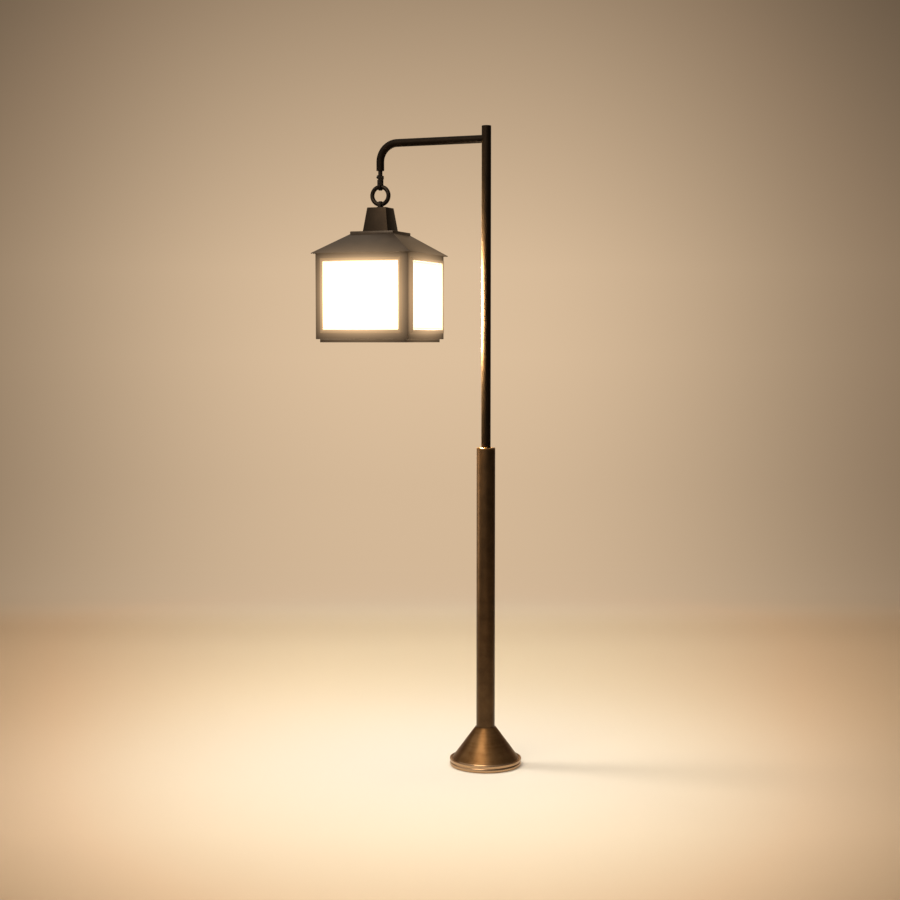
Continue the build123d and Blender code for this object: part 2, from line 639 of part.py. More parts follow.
def front_rail(z0, z1, ledge_z, depth):
    """Rail between two corner posts: an upright face and a ledge."""
    half = BODY_HALF - FLANGE
    face = block((-half, half), (-BODY_HALF, -INNER_FACE), (z0, z1))
    return face + ledge(depth, ledge_z, ledge_z + SHEET)


def top_rails():
    rail = front_rail(FRAME_TOP_Z - TOP_RAIL_HEIGHT, FRAME_TOP_Z, FRAME_TOP_Z - SHEET, TOP_LEDGE)
    return at_lantern(four_sides(rail))


def bottom_rails():
    rail = front_rail(FRAME_BOTTOM_Z, FRAME_BOTTOM_Z + BOTTOM_RAIL_HEIGHT, FRAME_BOTTOM_Z, BOTTOM_LEDGE)
    return at_lantern(four_sides(rail))


GLAZING_FACE_Y = -BODY_HALF - GLAZING_PROUD
FLANGE_BACK_Y = -INNER_FACE + GLAZING_FLANGE
PANE_FACE_Y = GLAZING_FACE_Y + GLAZING_WALL
PANE_BACK_Y = PANE_FACE_Y + PANE_THICKNESS
STEP_HALF = BODY_HALF - FLANGE - GLAZING_FIT
STEP_BOTTOM_Z = FRAME_BOTTOM_Z + BOTTOM_RAIL_HEIGHT + GLAZING_FIT
STEP_TOP_Z = FRAME_TOP_Z - TOP_RAIL_HEIGHT - GLAZING_FIT


def glazing_frame():
    """Front frame: a raised step round the window, and a flange behind the rails and corner posts."""
    step = block((-STEP_HALF, STEP_HALF), (GLAZING_FACE_Y, FLANGE_BACK_Y), (STEP_BOTTOM_Z, STEP_TOP_Z))
    step = chamfer(step.faces().sort_by(Axis.Y)[0].edges(), GLAZING_EDGE)
    flange = block((-GLAZING_HALF, GLAZING_HALF), (-INNER_FACE, FLANGE_BACK_Y), (GLAZING_BOTTOM_Z, GLAZING_TOP_Z))
    hollow_half = STEP_HALF - GLAZING_WALL
    hollow = block((-hollow_half, hollow_half), (PANE_FACE_Y, FLANGE_BACK_Y + 1),
                   (STEP_BOTTOM_Z + GLAZING_WALL, STEP_TOP_Z - GLAZING_WALL))
    window = block((-WINDOW_HALF, WINDOW_HALF), (GLAZING_FACE_Y - 1, PANE_FACE_Y + 1), (WINDOW_BOTTOM_Z, WINDOW_TOP_Z))
    frame = step + flange - hollow - window
    bevel_edges = [edge for edge in frame.edges()
                   if abs(edge.center().Y - GLAZING_FACE_Y) < 0.01 and abs(edge.center().X) <= WINDOW_HALF + 0.01
                   and WINDOW_BOTTOM_Z - 0.01 <= edge.center().Z <= WINDOW_TOP_Z + 0.01]
    return chamfer(bevel_edges, GLAZING_BEVEL)


def glazing_frames():
    return at_lantern(four_sides(glazing_frame()))


def pane():
    inset = GLAZING_WALL + PANE_FIT
    half = STEP_HALF - inset
    return block((-half, half), (PANE_FACE_Y, PANE_BACK_Y), (STEP_BOTTOM_Z + inset, STEP_TOP_Z - inset))


def pane_clips():
    """Spring clips that hold the panes in their frames, two above and two below each pane."""
    strip = 0.6
    half_width = 5.0
    foot_length, tongue_length = 5.0, 7.0
    clips = []
    for x in (-60.0, 60.0):
        for wall_z, inwards in ((STEP_BOTTOM_Z + GLAZING_WALL, 1), (STEP_TOP_Z - GLAZING_WALL, -1)):
            start_z = wall_z + inwards * PANE_FIT
            turn_z = start_z + inwards * strip
            foot = sorted((wall_z - inwards * foot_length, turn_z))
            riser = sorted((start_z, turn_z))
            tongue = sorted((start_z, start_z + inwards * tongue_length))
            span = (x - half_width, x + half_width)
            clip = block(span, (FLANGE_BACK_Y, FLANGE_BACK_Y + strip), foot)
            clip += block(span, (PANE_BACK_Y, FLANGE_BACK_Y + strip), riser)
            clip += block(span, (PANE_BACK_Y, PANE_BACK_Y + strip), tongue)
            clips.append(clip)
    sides = [on_side(clip, quarter) for quarter in range(4) for clip in clips]
    return at_lantern(Compound(sides))


# Light engine

CAP_SCREW_RADIUS = 1.5
CAP_SCREW_HEAD_RADIUS = 2.9
CAP_SCREW_PLACES = ((-7.0, -7.0), (7.0, 7.0))
SWITCH_TOP_Z = DIFFUSER_FOOT_Z + 18.0
SPRING_SEAT_Z = DIFFUSER_FOOT_Z + 10.0
BUTTON_FLANGE_RADIUS = 7.2
BUTTON_FLANGE_THICKNESS = 1.2
SPRING_FOOT_Z = DIFFUSER_FOOT_Z - HANG_GAP - BUTTON_TRAVEL
BUTTON_FLANGE_Z = SPRING_FOOT_Z - BUTTON_FLANGE_THICKNESS
FLANGE_FLOOR_Z = BUTTON_FLANGE_Z - HANG_GAP
SPRING_RADIUS = 3.4
SPRING_WIRE_RADIUS = 0.35
SPRING_TURNS = 5
SOCKET_X = 21.5


def battery_pack():
    """Twin-cell pack in the roof space, with a clear hole for the rod."""
    half_length, half_width, height = 36.0, 22.0, 20.5
    pack = block((-half_length, half_length), (-half_width, half_width), (BRIDGE_TOP_Z, BRIDGE_TOP_Z + height))
    pack = fillet(pack.edges().filter_by(Axis.X), 6.0)
    return at_lantern(pack - rod(ROD_RADIUS + 1, BRIDGE_TOP_Z - 1, BRIDGE_TOP_Z + height + 1))


def engine_plate():
    plate = rod(ENGINE_PLATE_RADIUS, ENGINE_PLATE_Z, ENGINE_PLATE_TOP_Z)
    return at_lantern(plate - rod(ROD_RADIUS, ENGINE_PLATE_Z - 1, ENGINE_PLATE_TOP_Z + 1))


def driver_board():
    """Ring-shaped circuit board round the top of the core, with its larger components."""
    board_z, thickness = 1152.0, 1.6
    top_z = board_z + thickness
    opening = CORE_HALF + 0.2
    board = rod(DIFFUSER_RADIUS - DIFFUSER_WALL - 1.5, board_z, top_z)
    board -= block((-opening, opening), (-opening, opening), (board_z - 1, top_z + 1))
    coil = rod(4.0, top_z, top_z + 4.5, x=20, y=0)
    capacitor = rod(2.5, top_z, top_z + 5.0, x=-20, y=6)
    chip = block((-23, -17), (-8, -2), (top_z, top_z + 1.5))
    relay = block((-6, 6), (16, 24), (top_z, top_z + 4.0))
    plug = block((-5, 5), (-24, -17), (top_z, top_z + 5.0))
    return at_lantern(board + coil + capacitor + chip + relay + plug)


def led_core():
    hollow = CORE_HALF - CORE_WALL
    core = block((-CORE_HALF, CORE_HALF), (-CORE_HALF, CORE_HALF), (DIFFUSER_FOOT_Z, ENGINE_PLATE_Z))
    core -= block((-hollow, hollow), (-hollow, hollow), (DIFFUSER_FOOT_Z - 1, ENGINE_PLATE_Z + 1))
    return at_lantern(core)


def led_boards():
    """One board of light-emitting chips on each face of the core."""
    thickness, half_width = 1.6, 9.0
    foot_z, top_z = 1030.0, 1150.0
    chip_count, chip_size, chip_height = 7, 3.5, 0.8
    face = -CORE_HALF - thickness
    board = block((-half_width, half_width), (face, -CORE_HALF), (foot_z, top_z))
    pitch = (top_z - foot_z) / chip_count
    for index in range(chip_count):
        z = foot_z + pitch * (index + 0.5)
        board += block((-chip_size / 2, chip_size / 2), (face - chip_height, face),
                       (z - chip_size / 2, z + chip_size / 2))
    return at_lantern(four_sides(board))


def diffuser():
    tube = rod(DIFFUSER_RADIUS, DIFFUSER_FOOT_Z, ENGINE_PLATE_Z)
    return at_lantern(tube - rod(DIFFUSER_RADIUS - DIFFUSER_WALL, DIFFUSER_FOOT_Z - 1, ENGINE_PLATE_Z + 1))


def socket_envelope():
    """Outside of the charging socket, which fills its slot in the cap."""
    return block((SOCKET_X - 3.5, SOCKET_X + 3.5), (-6, 6), (CAP_FACE_Z, DIFFUSER_FOOT_Z + 4))


def diffuser_cap():
    cap = rod(DIFFUSER_RADIUS, CAP_FACE_Z, DIFFUSER_FOOT_Z)
    cap = chamfer(cap.edges().group_by(Axis.Z)[0], 1.2)
    spigot = DIFFUSER_RADIUS - DIFFUSER_WALL
    cap += rod(spigot, DIFFUSER_FOOT_Z, DIFFUSER_FOOT_Z + 5) - rod(spigot - 2, DIFFUSER_FOOT_Z, DIFFUSER_FOOT_Z + 6)
    cap -= rod(BUTTON_RADIUS + HANG_GAP, CAP_FACE_Z - 1, DIFFUSER_FOOT_Z + 1)
    cap -= rod(BUTTON_FLANGE_RADIUS + HANG_GAP, FLANGE_FLOOR_Z, DIFFUSER_FOOT_Z + 1)
    cap -= socket_envelope()
    for x, y in CAP_SCREW_PLACES:
        cap -= rod(CAP_SCREW_RADIUS, CAP_FACE_Z - 1, DIFFUSER_FOOT_Z + 1, x, y)
    return at_lantern(cap)


def cap_screws():
    screws = []
    for x, y in CAP_SCREW_PLACES:
        head = rod(CAP_SCREW_HEAD_RADIUS, CAP_FACE_Z - 1.8, CAP_FACE_Z, x, y)
        head = chamfer(head.edges().group_by(Axis.Z)[0], 0.5)
        head -= Pos(x, y, 0) * hexagon_rod(2.0, CAP_FACE_Z - 2, CAP_FACE_Z - 0.7)
        screws.append(head + rod(CAP_SCREW_RADIUS, CAP_FACE_Z, DIFFUSER_FOOT_Z + 12, x, y))
    return at_lantern(Compound(screws))


def switch_body():
    half = CORE_HALF - CORE_WALL - 0.1
    body = block((-half, half), (-half, half), (DIFFUSER_FOOT_Z, SWITCH_TOP_Z))
    body -= rod(SPRING_RADIUS + 1.2, DIFFUSER_FOOT_Z - 1, SPRING_SEAT_Z)
    for x, y in CAP_SCREW_PLACES:
        body -= rod(CAP_SCREW_RADIUS, DIFFUSER_FOOT_Z - 1, DIFFUSER_FOOT_Z + 12, x, y)
    return at_lantern(body)


def power_button():
    face_z = CAP_FACE_Z - 2.2
    body = rod(BUTTON_RADIUS, face_z, BUTTON_FLANGE_Z)
    body = chamfer(body.edges().group_by(Axis.Z)[0], 0.8)
    return at_lantern(body + rod(BUTTON_FLANGE_RADIUS, BUTTON_FLANGE_Z, BUTTON_FLANGE_Z + BUTTON_FLANGE_THICKNESS))


def button_spring():
    height = SPRING_SEAT_Z - SPRING_FOOT_Z - 2 * SPRING_WIRE_RADIUS - 0.1
    route = Helix(pitch=height / SPRING_TURNS, height=height, radius=SPRING_RADIUS)
    section = Plane(origin=route @ 0, z_dir=route % 0) * Circle(SPRING_WIRE_RADIUS)
    coil = sweep(section, path=route)
    return at_lantern(Pos(0, 0, SPRING_FOOT_Z + SPRING_WIRE_RADIUS + 0.05) * coil)


def charge_socket():
    socket = socket_envelope()
    mouth = Pos(SOCKET_X, 0, CAP_FACE_Z - 1) * Rot(0, 0, 90) * extrude(SlotOverall(9.0, 3.2), amount=7)
    tongue = block((SOCKET_X - 0.35, SOCKET_X + 0.35), (-3.3, 3.3), (CAP_FACE_Z + 0.8, CAP_FACE_Z + 6.5))
    return at_lantern(socket - mouth + tongue)


# Bottom hatch and its hinge

MOVING_KNUCKLES = ((-45.0, -15.0), (15.0, 45.0))
FIXED_KNUCKLES = ((-60.0, -45.4), (-14.6, 14.6), (45.4, 60.0))
MAGNET_X = 60.0
MAGNET_HALF_LENGTH = 9.0


def hatch_tray():
    """Shallow pan that closes the lantern from below, with its hinge knuckles."""
    outer = (-TRAY_HALF, TRAY_HALF)
    inner = (-TRAY_HALF + TRAY_SHEET, TRAY_HALF - TRAY_SHEET)
    tray = block(outer, outer, (TRAY_BOTTOM_Z, TRAY_TOP_Z))
    tray = fillet(tray.edges().filter_by(Axis.Z), 2.0)
    tray = chamfer(tray.edges().group_by(Axis.Z)[0], 0.8)
    tray -= block(inner, inner, (TRAY_BOTTOM_Z + TRAY_SHEET, TRAY_TOP_Z + 1))
    for x0, x1 in MOVING_KNUCKLES:
        knuckle = rod_x(KNUCKLE_RADIUS, x0, x1, HINGE_Y, HINGE_Z)
        web = block((x0, x1), (TRAY_HALF - 0.5, HINGE_Y - 1.8), (HINGE_Z - 1.2, HINGE_Z + 1.2))
        tray += knuckle + web
        tray -= rod_x(HINGE_PIN_RADIUS, x0 - 1, x1 + 1, HINGE_Y, HINGE_Z)
    return at_lantern(tray)


def hinge_fixed_leaf():
    """Leaf on the back of the rear rail, with three knuckles below it."""
    face = BODY_HALF
    thickness = 1.2
    leaf = block((-HINGE_HALF_LENGTH, HINGE_HALF_LENGTH), (face, face + thickness),
                 (FRAME_BOTTOM_Z + 0.3, FRAME_BOTTOM_Z + 12))
    for x0, x1 in FIXED_KNUCKLES:
        leaf += rod_x(KNUCKLE_RADIUS, x0, x1, HINGE_Y, HINGE_Z)
        leaf += block((x0, x1), (face - 1.5, face + thickness), (HINGE_Z, FRAME_BOTTOM_Z - 0.1))
        leaf += block((x0, x1), (face, face + thickness), (HINGE_Z, FRAME_BOTTOM_Z + 1))
        leaf -= rod_x(HINGE_PIN_RADIUS + 0.05, x0 - 1, x1 + 1, HINGE_Y, HINGE_Z)
    return at_lantern(leaf)


def hinge_pin():
    pin = rod_x(HINGE_PIN_RADIUS, -HINGE_HALF_LENGTH - 0.6, HINGE_HALF_LENGTH + 0.6, HINGE_Y, HINGE_Z)
    heads = [rod_x(2.4, x, x + 1.4, HINGE_Y, HINGE_Z) for x in (-HINGE_HALF_LENGTH - 1.9, HINGE_HALF_LENGTH + 0.5)]
    return at_lantern(pin + heads[0] + heads[1])


def hatch_seal():
    outer = TRAY_HALF - TRAY_SHEET
    inner = outer - 5.0
    seal = block((-outer, outer), (-outer, outer), (TRAY_BOTTOM_Z + TRAY_SHEET, TRAY_TOP_Z))
    return at_lantern(seal - block((-inner, inner), (-inner, inner), (TRAY_BOTTOM_Z, TRAY_TOP_Z + 1)))


def hatch_magnets():
    magnets = [block((x - MAGNET_HALF_LENGTH, x + MAGNET_HALF_LENGTH), (-99.0, -93.5),
                     (TRAY_BOTTOM_Z + TRAY_SHEET, TRAY_TOP_Z)) for x in (-MAGNET_X, MAGNET_X)]
    return at_lantern(Compound(magnets))


def hatch_keepers():
    keeper_z = FRAME_BOTTOM_Z + SHEET
    keepers = [block((x - MAGNET_HALF_LENGTH, x + MAGNET_HALF_LENGTH), (-99.0, -93.5),
                     (keeper_z, keeper_z + 1.6)) for x in (-MAGNET_X, MAGNET_X)]
    return at_lantern(Compound(keepers))


CORNERS = ("front_right", "rear_right", "rear_left", "front_left")
SIDES = ("front", "right", "rear", "left")
SUBPARTS = (
    foot_gasket, foot_casting, foot_set_screws, base_cover, cover_seal,
    lower_post, guide_bush, post_top_bush, post_set_screws, upper_post, post_cap,
    arm, arm_stud, post_top_insert, arm_lock_screw, arm_end_bush,
    swivel_stem, thrust_washer, stem_nut, hook_body, gate_pin, gate_spring, hook_gate,
    hanging_ring, hanger_eye, roof_cap, roof_plate, roof_shell, hanger_bridge, hanger_nuts,
    top_rails, bottom_rails, glazing_frames, pane_clips,
    battery_pack, engine_plate, driver_board, led_core, led_boards, diffuser, diffuser_cap,
    cap_screws, switch_body, button_spring, charge_socket, power_button,
    hinge_fixed_leaf, hinge_pin, hatch_tray, hatch_seal, hatch_magnets, hatch_keepers,
)


def all_parts():
    """Every sub-part by its name."""
    parts = {make.__name__: make() for make in SUBPARTS}
    for quarter, (corner, side) in enumerate(zip(CORNERS, SIDES)):
        parts["corner_post_" + corner] = at_lantern(on_side(corner_post(), quarter))
        parts["pane_" + side] = at_lantern(on_side(pane(), quarter))
    return parts


def main():
    os.makedirs("parts", exist_ok=True)
    for name, shape in all_parts().items():
        export_step(shape, "parts/" + name + ".step")


main()
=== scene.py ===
import math
from functools import partial

import bmesh
import bpy
from bpy.props import FloatProperty, FloatVectorProperty, IntProperty, PointerProperty
from mathutils import Matrix, Vector


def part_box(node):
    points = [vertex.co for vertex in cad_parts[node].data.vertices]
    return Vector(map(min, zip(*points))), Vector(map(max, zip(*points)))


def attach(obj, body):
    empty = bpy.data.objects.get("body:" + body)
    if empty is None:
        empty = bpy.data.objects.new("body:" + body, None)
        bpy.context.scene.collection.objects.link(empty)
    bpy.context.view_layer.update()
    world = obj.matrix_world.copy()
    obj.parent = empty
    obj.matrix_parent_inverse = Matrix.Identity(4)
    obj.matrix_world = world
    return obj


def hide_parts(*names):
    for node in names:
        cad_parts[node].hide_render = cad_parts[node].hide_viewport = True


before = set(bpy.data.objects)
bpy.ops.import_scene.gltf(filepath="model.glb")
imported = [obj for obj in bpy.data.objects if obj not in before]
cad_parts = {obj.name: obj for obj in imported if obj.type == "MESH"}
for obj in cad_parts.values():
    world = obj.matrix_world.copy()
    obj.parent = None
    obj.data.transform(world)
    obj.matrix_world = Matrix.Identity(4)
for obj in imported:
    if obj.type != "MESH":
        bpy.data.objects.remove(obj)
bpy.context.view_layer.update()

# Garden post light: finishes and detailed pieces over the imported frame.
# Sizes in this file are millimetres unless a name ends in _m. +Z is up, the arm reaches to -X
# and the lantern's front faces -Y.

bl_info = {
    "name": "Garden Post Light",
    "version": (1, 0, 0),
    "blender": (4, 5, 0),
    "location": "3D View > Sidebar > Post Light",
    "description": "Finishes and detailed pieces for a garden post light with a hanging lantern",
    "category": "Add Mesh",
}

MM = 0.001


def span(node, axis):
    """Lowest and highest value of a CAD node along an axis, in millimetres."""
    low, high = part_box(node)
    return low[axis] / MM, high[axis] / MM


HANG_X = sum(span("hanging_ring", 0)) / 2
LANTERN_HALF = (span("top_rails", 0)[1] - span("top_rails", 0)[0]) / 2
PANE_MIDDLE_Z = sum(span("pane_front", 2)) / 2
# The window in each side of the lantern: its middle, and half its width and half its height.
WINDOW_MIDDLE_Z = 1076.0
WINDOW_CORNER_M = (92.0 * MM, 76.5 * MM, 0.0)
# The rolled beads round the cone's foot end at this height.
BEAD_TOP_Z = 17.4


def linear(hex_colour):
    """Linear red, green and blue of an sRGB hex colour."""
    def one(value):
        return value / 12.92 if value <= 0.04045 else ((value + 0.055) / 1.055) ** 2.4
    digits = hex_colour.lstrip("#")
    return tuple(one(int(digits[i:i + 2], 16) / 255) for i in (0, 2, 4))


def rgba(colour):
    """A colour, or a grey given as one number, with full opacity."""
    return (*((colour,) * 3 if isinstance(colour, float) else colour[:3]), 1.0)


def shade(colour, share):
    """A colour that keeps only a share of its brightness."""
    return tuple(value * share for value in colour)


# Settings

def colour_setting(name, description, hex_colour):
    """A colour that the user can change."""
    return FloatVectorProperty(name=name, description=description, subtype="COLOR", size=3,
                               min=0.0, max=1.0, default=linear(hex_colour))


def length_setting(name, description, millimetres):
    """A length in metres that the user can change."""
    return FloatProperty(name=name, description=description, subtype="DISTANCE", unit="LENGTH",
                         min=0.0, max=50.0 * MM, default=millimetres * MM)


def power_setting(name, description, watts):
    """The power of a light that the user can change."""
    return FloatProperty(name=name, description=description + ", in watts", subtype="POWER",
                         min=0.0, max=500.0, default=watts)


def strength_setting(name, description, strength, highest=2.0):
    """A strength that the user can change."""
    return FloatProperty(name=name, description=description, min=0.0, max=highest, default=strength)


class PostSettings(bpy.types.PropertyGroup):
    """Sizes and colours of the post, its cover and its arm."""
    cover_colour: colour_setting("Cover", "Spun bronze of the cone cover", "#8A6844")
    cover_dark: colour_setting("Cover patina", "Darker patina in the spun bronze", "#6A4A2A")
    bead_colour: colour_setting("Cover beads", "Burnished bronze of the beads at the foot", "#B89979")
    lower_colour: colour_setting("Lower tube", "Bronze coat on the thick tube", "#54402A")
    upper_colour: colour_setting("Upper tube", "Dark bronze coat on the thin tube and the arm", "#1F160D")
    collar_colour: colour_setting("Step collar", "Lighter bronze of the ring at the post's step", "#C09A6A")
    edge_radius: length_setting("Edge radius", "Radius on the cut ends of the tubes", 0.35)


class LanternSettings(bpy.types.PropertyGroup):
    """Sizes and colours of the lantern and what it hangs from."""
    coat_colour: colour_setting("Coat", "Textured coat on the roof and the frame", "#3E3124")
    hook_colour: colour_setting("Hook", "Blackened steel of the hook, ring and eye", "#2B231C")
    frame_colour: colour_setting("Glazing frame", "Anodised frames next to the panes", "#8A7256")
    pane_colour: colour_setting("Panes", "Opal acrylic", "#FFFDF6")
    glow_colour: colour_setting("Glow", "Light that the lit panes give", "#FFE9C8")
    # A painted glow of the panes' light on the metal beside them takes this colour and the strength two lines
    # down.
    painted_spill_colour: colour_setting("Spill", "Warm light on the metal beside the panes", "#F4CB9C")
    pane_strength: strength_setting("Pane brightness", "Brightness of the lit panes", 30.0, 100.0)
    painted_spill_strength: strength_setting("Spill strength", "Brightness of the metal beside the panes", 0.93)
    bend_radius: length_setting("Bend radius", "Outside radius of the folded sheet's bends", 1.2)


class StageSettings(bpy.types.PropertyGroup):
    """Floor, backdrop and light."""
    # The floor colour is the paper in its painted pool of light round the post; the tint, the floor edge and the
    # backdrop colours are stops of the painted falloff away from it.
    floor_colour: colour_setting("Floor", "Pale floor round the post", "#FBF7EE")
    painted_falloff_tint: colour_setting("Floor tint", "Warm tint of the pale floor away from the post", "#FFF0D4")
    edge_colour: colour_setting("Floor edge", "Floor where it fades at the sides", "#DEC3A4")
    wall_colour: colour_setting("Backdrop", "Backdrop behind the post", "#DDC09E")
    shade_colour: colour_setting("Backdrop edge", "Backdrop where it falls away", "#8F7961")
    key_power: power_setting("Key", "Power of the soft light above", 45.0)
    floor_power: power_setting("Floor", "Power of the soft light over the floor", 25.0)
    side_power: power_setting("Side", "Power of the soft light at the left", 20.0)
    pool_power: power_setting("Pool", "Power of the lantern's own light on the floor", 12.5)
    glow_power: power_setting("Glow on the post", "Power of the right pane's light on the post", 75.0)
    world_strength: strength_setting("Fill", "Strength of the even light from all round", 0.40)


class PostLightSettings(bpy.types.PropertyGroup):
    """All settings of the post light."""
    post: PointerProperty(type=PostSettings)
    lantern: PointerProperty(type=LanternSettings)
    stage: PointerProperty(type=StageSettings)
    round_steps: IntProperty(name="Round steps", description="Faces round the largest turned piece",
                             min=24, max=256, default=160)


# Finishes

def put(tree, kind, *values, out=0, stops=(), **named):
    """Adds a node with its settings, and gives one of its outputs, by number or by name.

    An operation may stand behind the kind. Values in a row feed the node's inputs in order. A name with
    capitals feeds the input of that name, with _ for each space, and any other name is a setting. Each value
    is plain or is another node's output.
    """
    kind, _, operation = kind.partition(" ")
    node = tree.nodes.new("ShaderNode" + kind)
    if operation:
        node.operation = operation
    for name in filter(str.islower, named):
        setattr(node, name, named[name])
    feeds = list(zip((socket for socket in node.inputs if socket.enabled), values))
    feeds += [(node.inputs[name.replace("_", " ")], named[name]) for name in named if not name.islower()]
    for socket, value in feeds:
        if isinstance(value, bpy.types.NodeSocket):
            tree.links.new(value, socket)
        else:
            socket.default_value = rgba(value) if socket.type == "RGBA" else value
    for i, (place, colour) in enumerate(stops):
        elements = node.color_ramp.elements
        element = elements[i] if i < len(elements) else elements.new(place)
        element.position = place
        element.color = rgba(colour)
    if isinstance(out, str):
        return node.outputs[out]
    usable = [socket for socket in node.outputs if socket.enabled]
    return usable[out] if usable else None


def node_adder(block):
    """Empties the nodes of a material or a world, and gives the function that adds to them."""
    block.use_nodes = True
    block.node_tree.nodes.clear()
    return partial(put, block.node_tree)


def new_finish(name):
    """An empty material, what adds its nodes, and the place of each point in metres."""
    material = bpy.data.materials.new(name)
    add = node_adder(material)
    return material, add, add("TexCoord", out="Object")


def end_finish(add, **sockets):
    """Ends a finish with its shader."""
    add("OutputMaterial", add("BsdfPrincipled", **sockets))


def per_mm(size):
    """Texture scale for a pattern of this size in millimetres, on coordinates in metres."""
    return 1000.0 / size


def surface(add, tones, stops, gloss, roughness, relief, strength, depth):
    """What the shader takes for colours over one pattern, gloss over another and fine relief over a third."""
    return {"Base_Color": add("ValToRGB", tones, stops=stops),
            "Roughness": add("MapRange", gloss, To_Min=roughness[0], To_Max=roughness[1]),
            "Normal": add("Bump", Strength=strength, Distance=depth * MM, Height=relief)}


def powder_coat(name, colour, dark_share, roughness, metallic, grain=1.6, depth=0.03):
    """Polyester powder coat with bronze flake, sprayed and baked on steel.

    It gives a satin sheen, a fine orange peel and soft clouds where the coat lies thicker.
    """
    material, add, place = new_finish(name)
    clouds = add("TexNoise", place, Scale=per_mm(26.0), Detail=4.0, Roughness=0.55)
    # Flake is about 0.05 mm and would not show, so it is drawn at 0.5 mm.
    flake = add("TexVoronoi", place, Scale=per_mm(0.5), out="Color")
    peel = add("TexNoise", place, Scale=per_mm(grain), Detail=2.0)
    end_finish(add, Metallic=metallic, **surface(
        add, clouds, [(0.34, shade(colour, dark_share)), (0.62, colour)], add("SeparateColor", flake),
        (roughness - 0.05, roughness + 0.06), peel, 0.35, depth))
    return material


def spun_bronze(name, colour, dark, bead, roughness):
    """Bronze sheet spun on a lathe, brushed as it turned and lacquered.

    The fine rings stretch the highlight into a streak up the slope. Darker rings stay where the tool paused.
    """
    material, add, place = new_finish(name)
    height = add("SeparateXYZ", place, out="Z")
    # Tool marks are about 0.2 mm apart and are drawn at 0.9 mm, so that some of them show.
    rings = add("TexNoise", W=height, Scale=per_mm(0.9), Detail=2.0, noise_dimensions="1D")
    bands = add("TexNoise", W=height, Scale=per_mm(7.0), Detail=3.0, noise_dimensions="1D")
    patina = add("TexNoise", place, Scale=per_mm(34.0), Detail=5.0, Roughness=0.6)
    sockets = surface(add, add("Mix", 0.25, patina, bands), [(0.32, dark), (0.60, colour)],
                      rings, (roughness - 0.05, roughness + 0.07), rings, 0.25, 0.02)
    # The rolled beads at the foot are burnished instead of brushed, and bare of patina.
    brushed = add("MapRange", height, (BEAD_TOP_Z - 0.8) * MM, (BEAD_TOP_Z + 0.6) * MM, 0.0, 0.45)
    on_slope = add("Math GREATER_THAN", height, BEAD_TOP_Z * MM)
    sockets["Roughness"] = add("Mix", on_slope, 0.22, sockets["Roughness"])
    sockets["Base_Color"] = add("Mix", on_slope, bead, sockets["Base_Color"], data_type="RGBA")
    end_finish(add, Metallic=1.0, Anisotropic=brushed, Anisotropic_Rotation=0.25,
               Tangent=add("Tangent", direction_type="RADIAL", axis="Z"), **sockets)
    return material


def off_middle(add, place):
    """How far each point lies from the lantern's middle, along each axis."""
    middle = (HANG_X * MM, 0.0, WINDOW_MIDDLE_Z * MM)
    return add("VectorMath ABSOLUTE", add("VectorMath SUBTRACT", place, middle))


def on_side(add, far):
    """How far each point lies from the middle of its side's window, across and along the height."""
    axes = add("SeparateXYZ", far).node.outputs
    return add("CombineXYZ", add("Math MINIMUM", axes["X"], axes["Y"]), axes["Z"])


def painted_spill_glow(add, place, reach, strength):
    """How strongly each point beside the lit panes has a painted glow that stands in for their light.

    The painted glow fades with the distance to the nearest window's edge, and towards the corners.
    """
    side = on_side(add, off_middle(add, place))
    past = add("VectorMath SUBTRACT", side, WINDOW_CORNER_M)
    past = add("VectorMath MAXIMUM", past, (0.0, 0.0, 0.0))
    fall = add("Math MULTIPLY", add("VectorMath LENGTH", past), -1.0 / (reach * MM))
    corners = add("MapRange", add("VectorMath LENGTH", side), 80 * MM, 150 * MM, 1.0, 0.25)
    painted_wash = add("Math MULTIPLY", add("Math EXPONENT", fall), corners)
    return add("Math MULTIPLY", painted_wash, strength)


def lantern_coat(name, colour, glow, strength, reach, roughness=0.50, metallic=0.35):
    """Textured powder coat on folded aluminium sheet.

    It gives a dull bronze brown with a fine sandy grain. Beside the lit panes it has a painted glow of warm
    light.
    """
    material, add, place = new_finish(name)
    clouds = add("TexNoise", place, Scale=per_mm(30.0), Detail=4.0)
    grain = add("TexNoise", place, Scale=per_mm(0.8), Detail=2.0, Roughness=0.6)
    end_finish(add, Metallic=metallic, Emission_Color=glow,
               Emission_Strength=painted_spill_glow(add, place, reach, strength), **surface(
                   add, clouds, [(0.30, shade(colour, 0.72)), (0.66, colour)], grain,
                   (roughness - 0.07, roughness + 0.09), grain, 0.4, 0.05))
    return material


def anodised_frame(name, colour, glow, strength):
    """Aluminium bar, brushed along its length and anodised in a warm tan.

    It gives a soft metal sheen with long fine lines, and a painted glow where the pane's light falls on it.
    """
    material, add, place = new_finish(name)
    # Brush lines are about 0.1 mm apart and are drawn at 0.6 mm, stretched along the bars.
    stretched = add("Mapping", place, Scale=(1.0, 1.0, 14.0))
    lines = add("TexNoise", stretched, Scale=per_mm(8.0), Detail=3.0)
    end_finish(add, Metallic=0.85, Emission_Color=glow,
               Emission_Strength=painted_spill_glow(add, place, 14.0, strength),
               Base_Color=add("ValToRGB", lines, stops=[(0.30, shade(colour, 0.80)), (0.70, colour)]),
               Roughness=add("MapRange", lines, To_Min=0.30, To_Max=0.42))
    return material


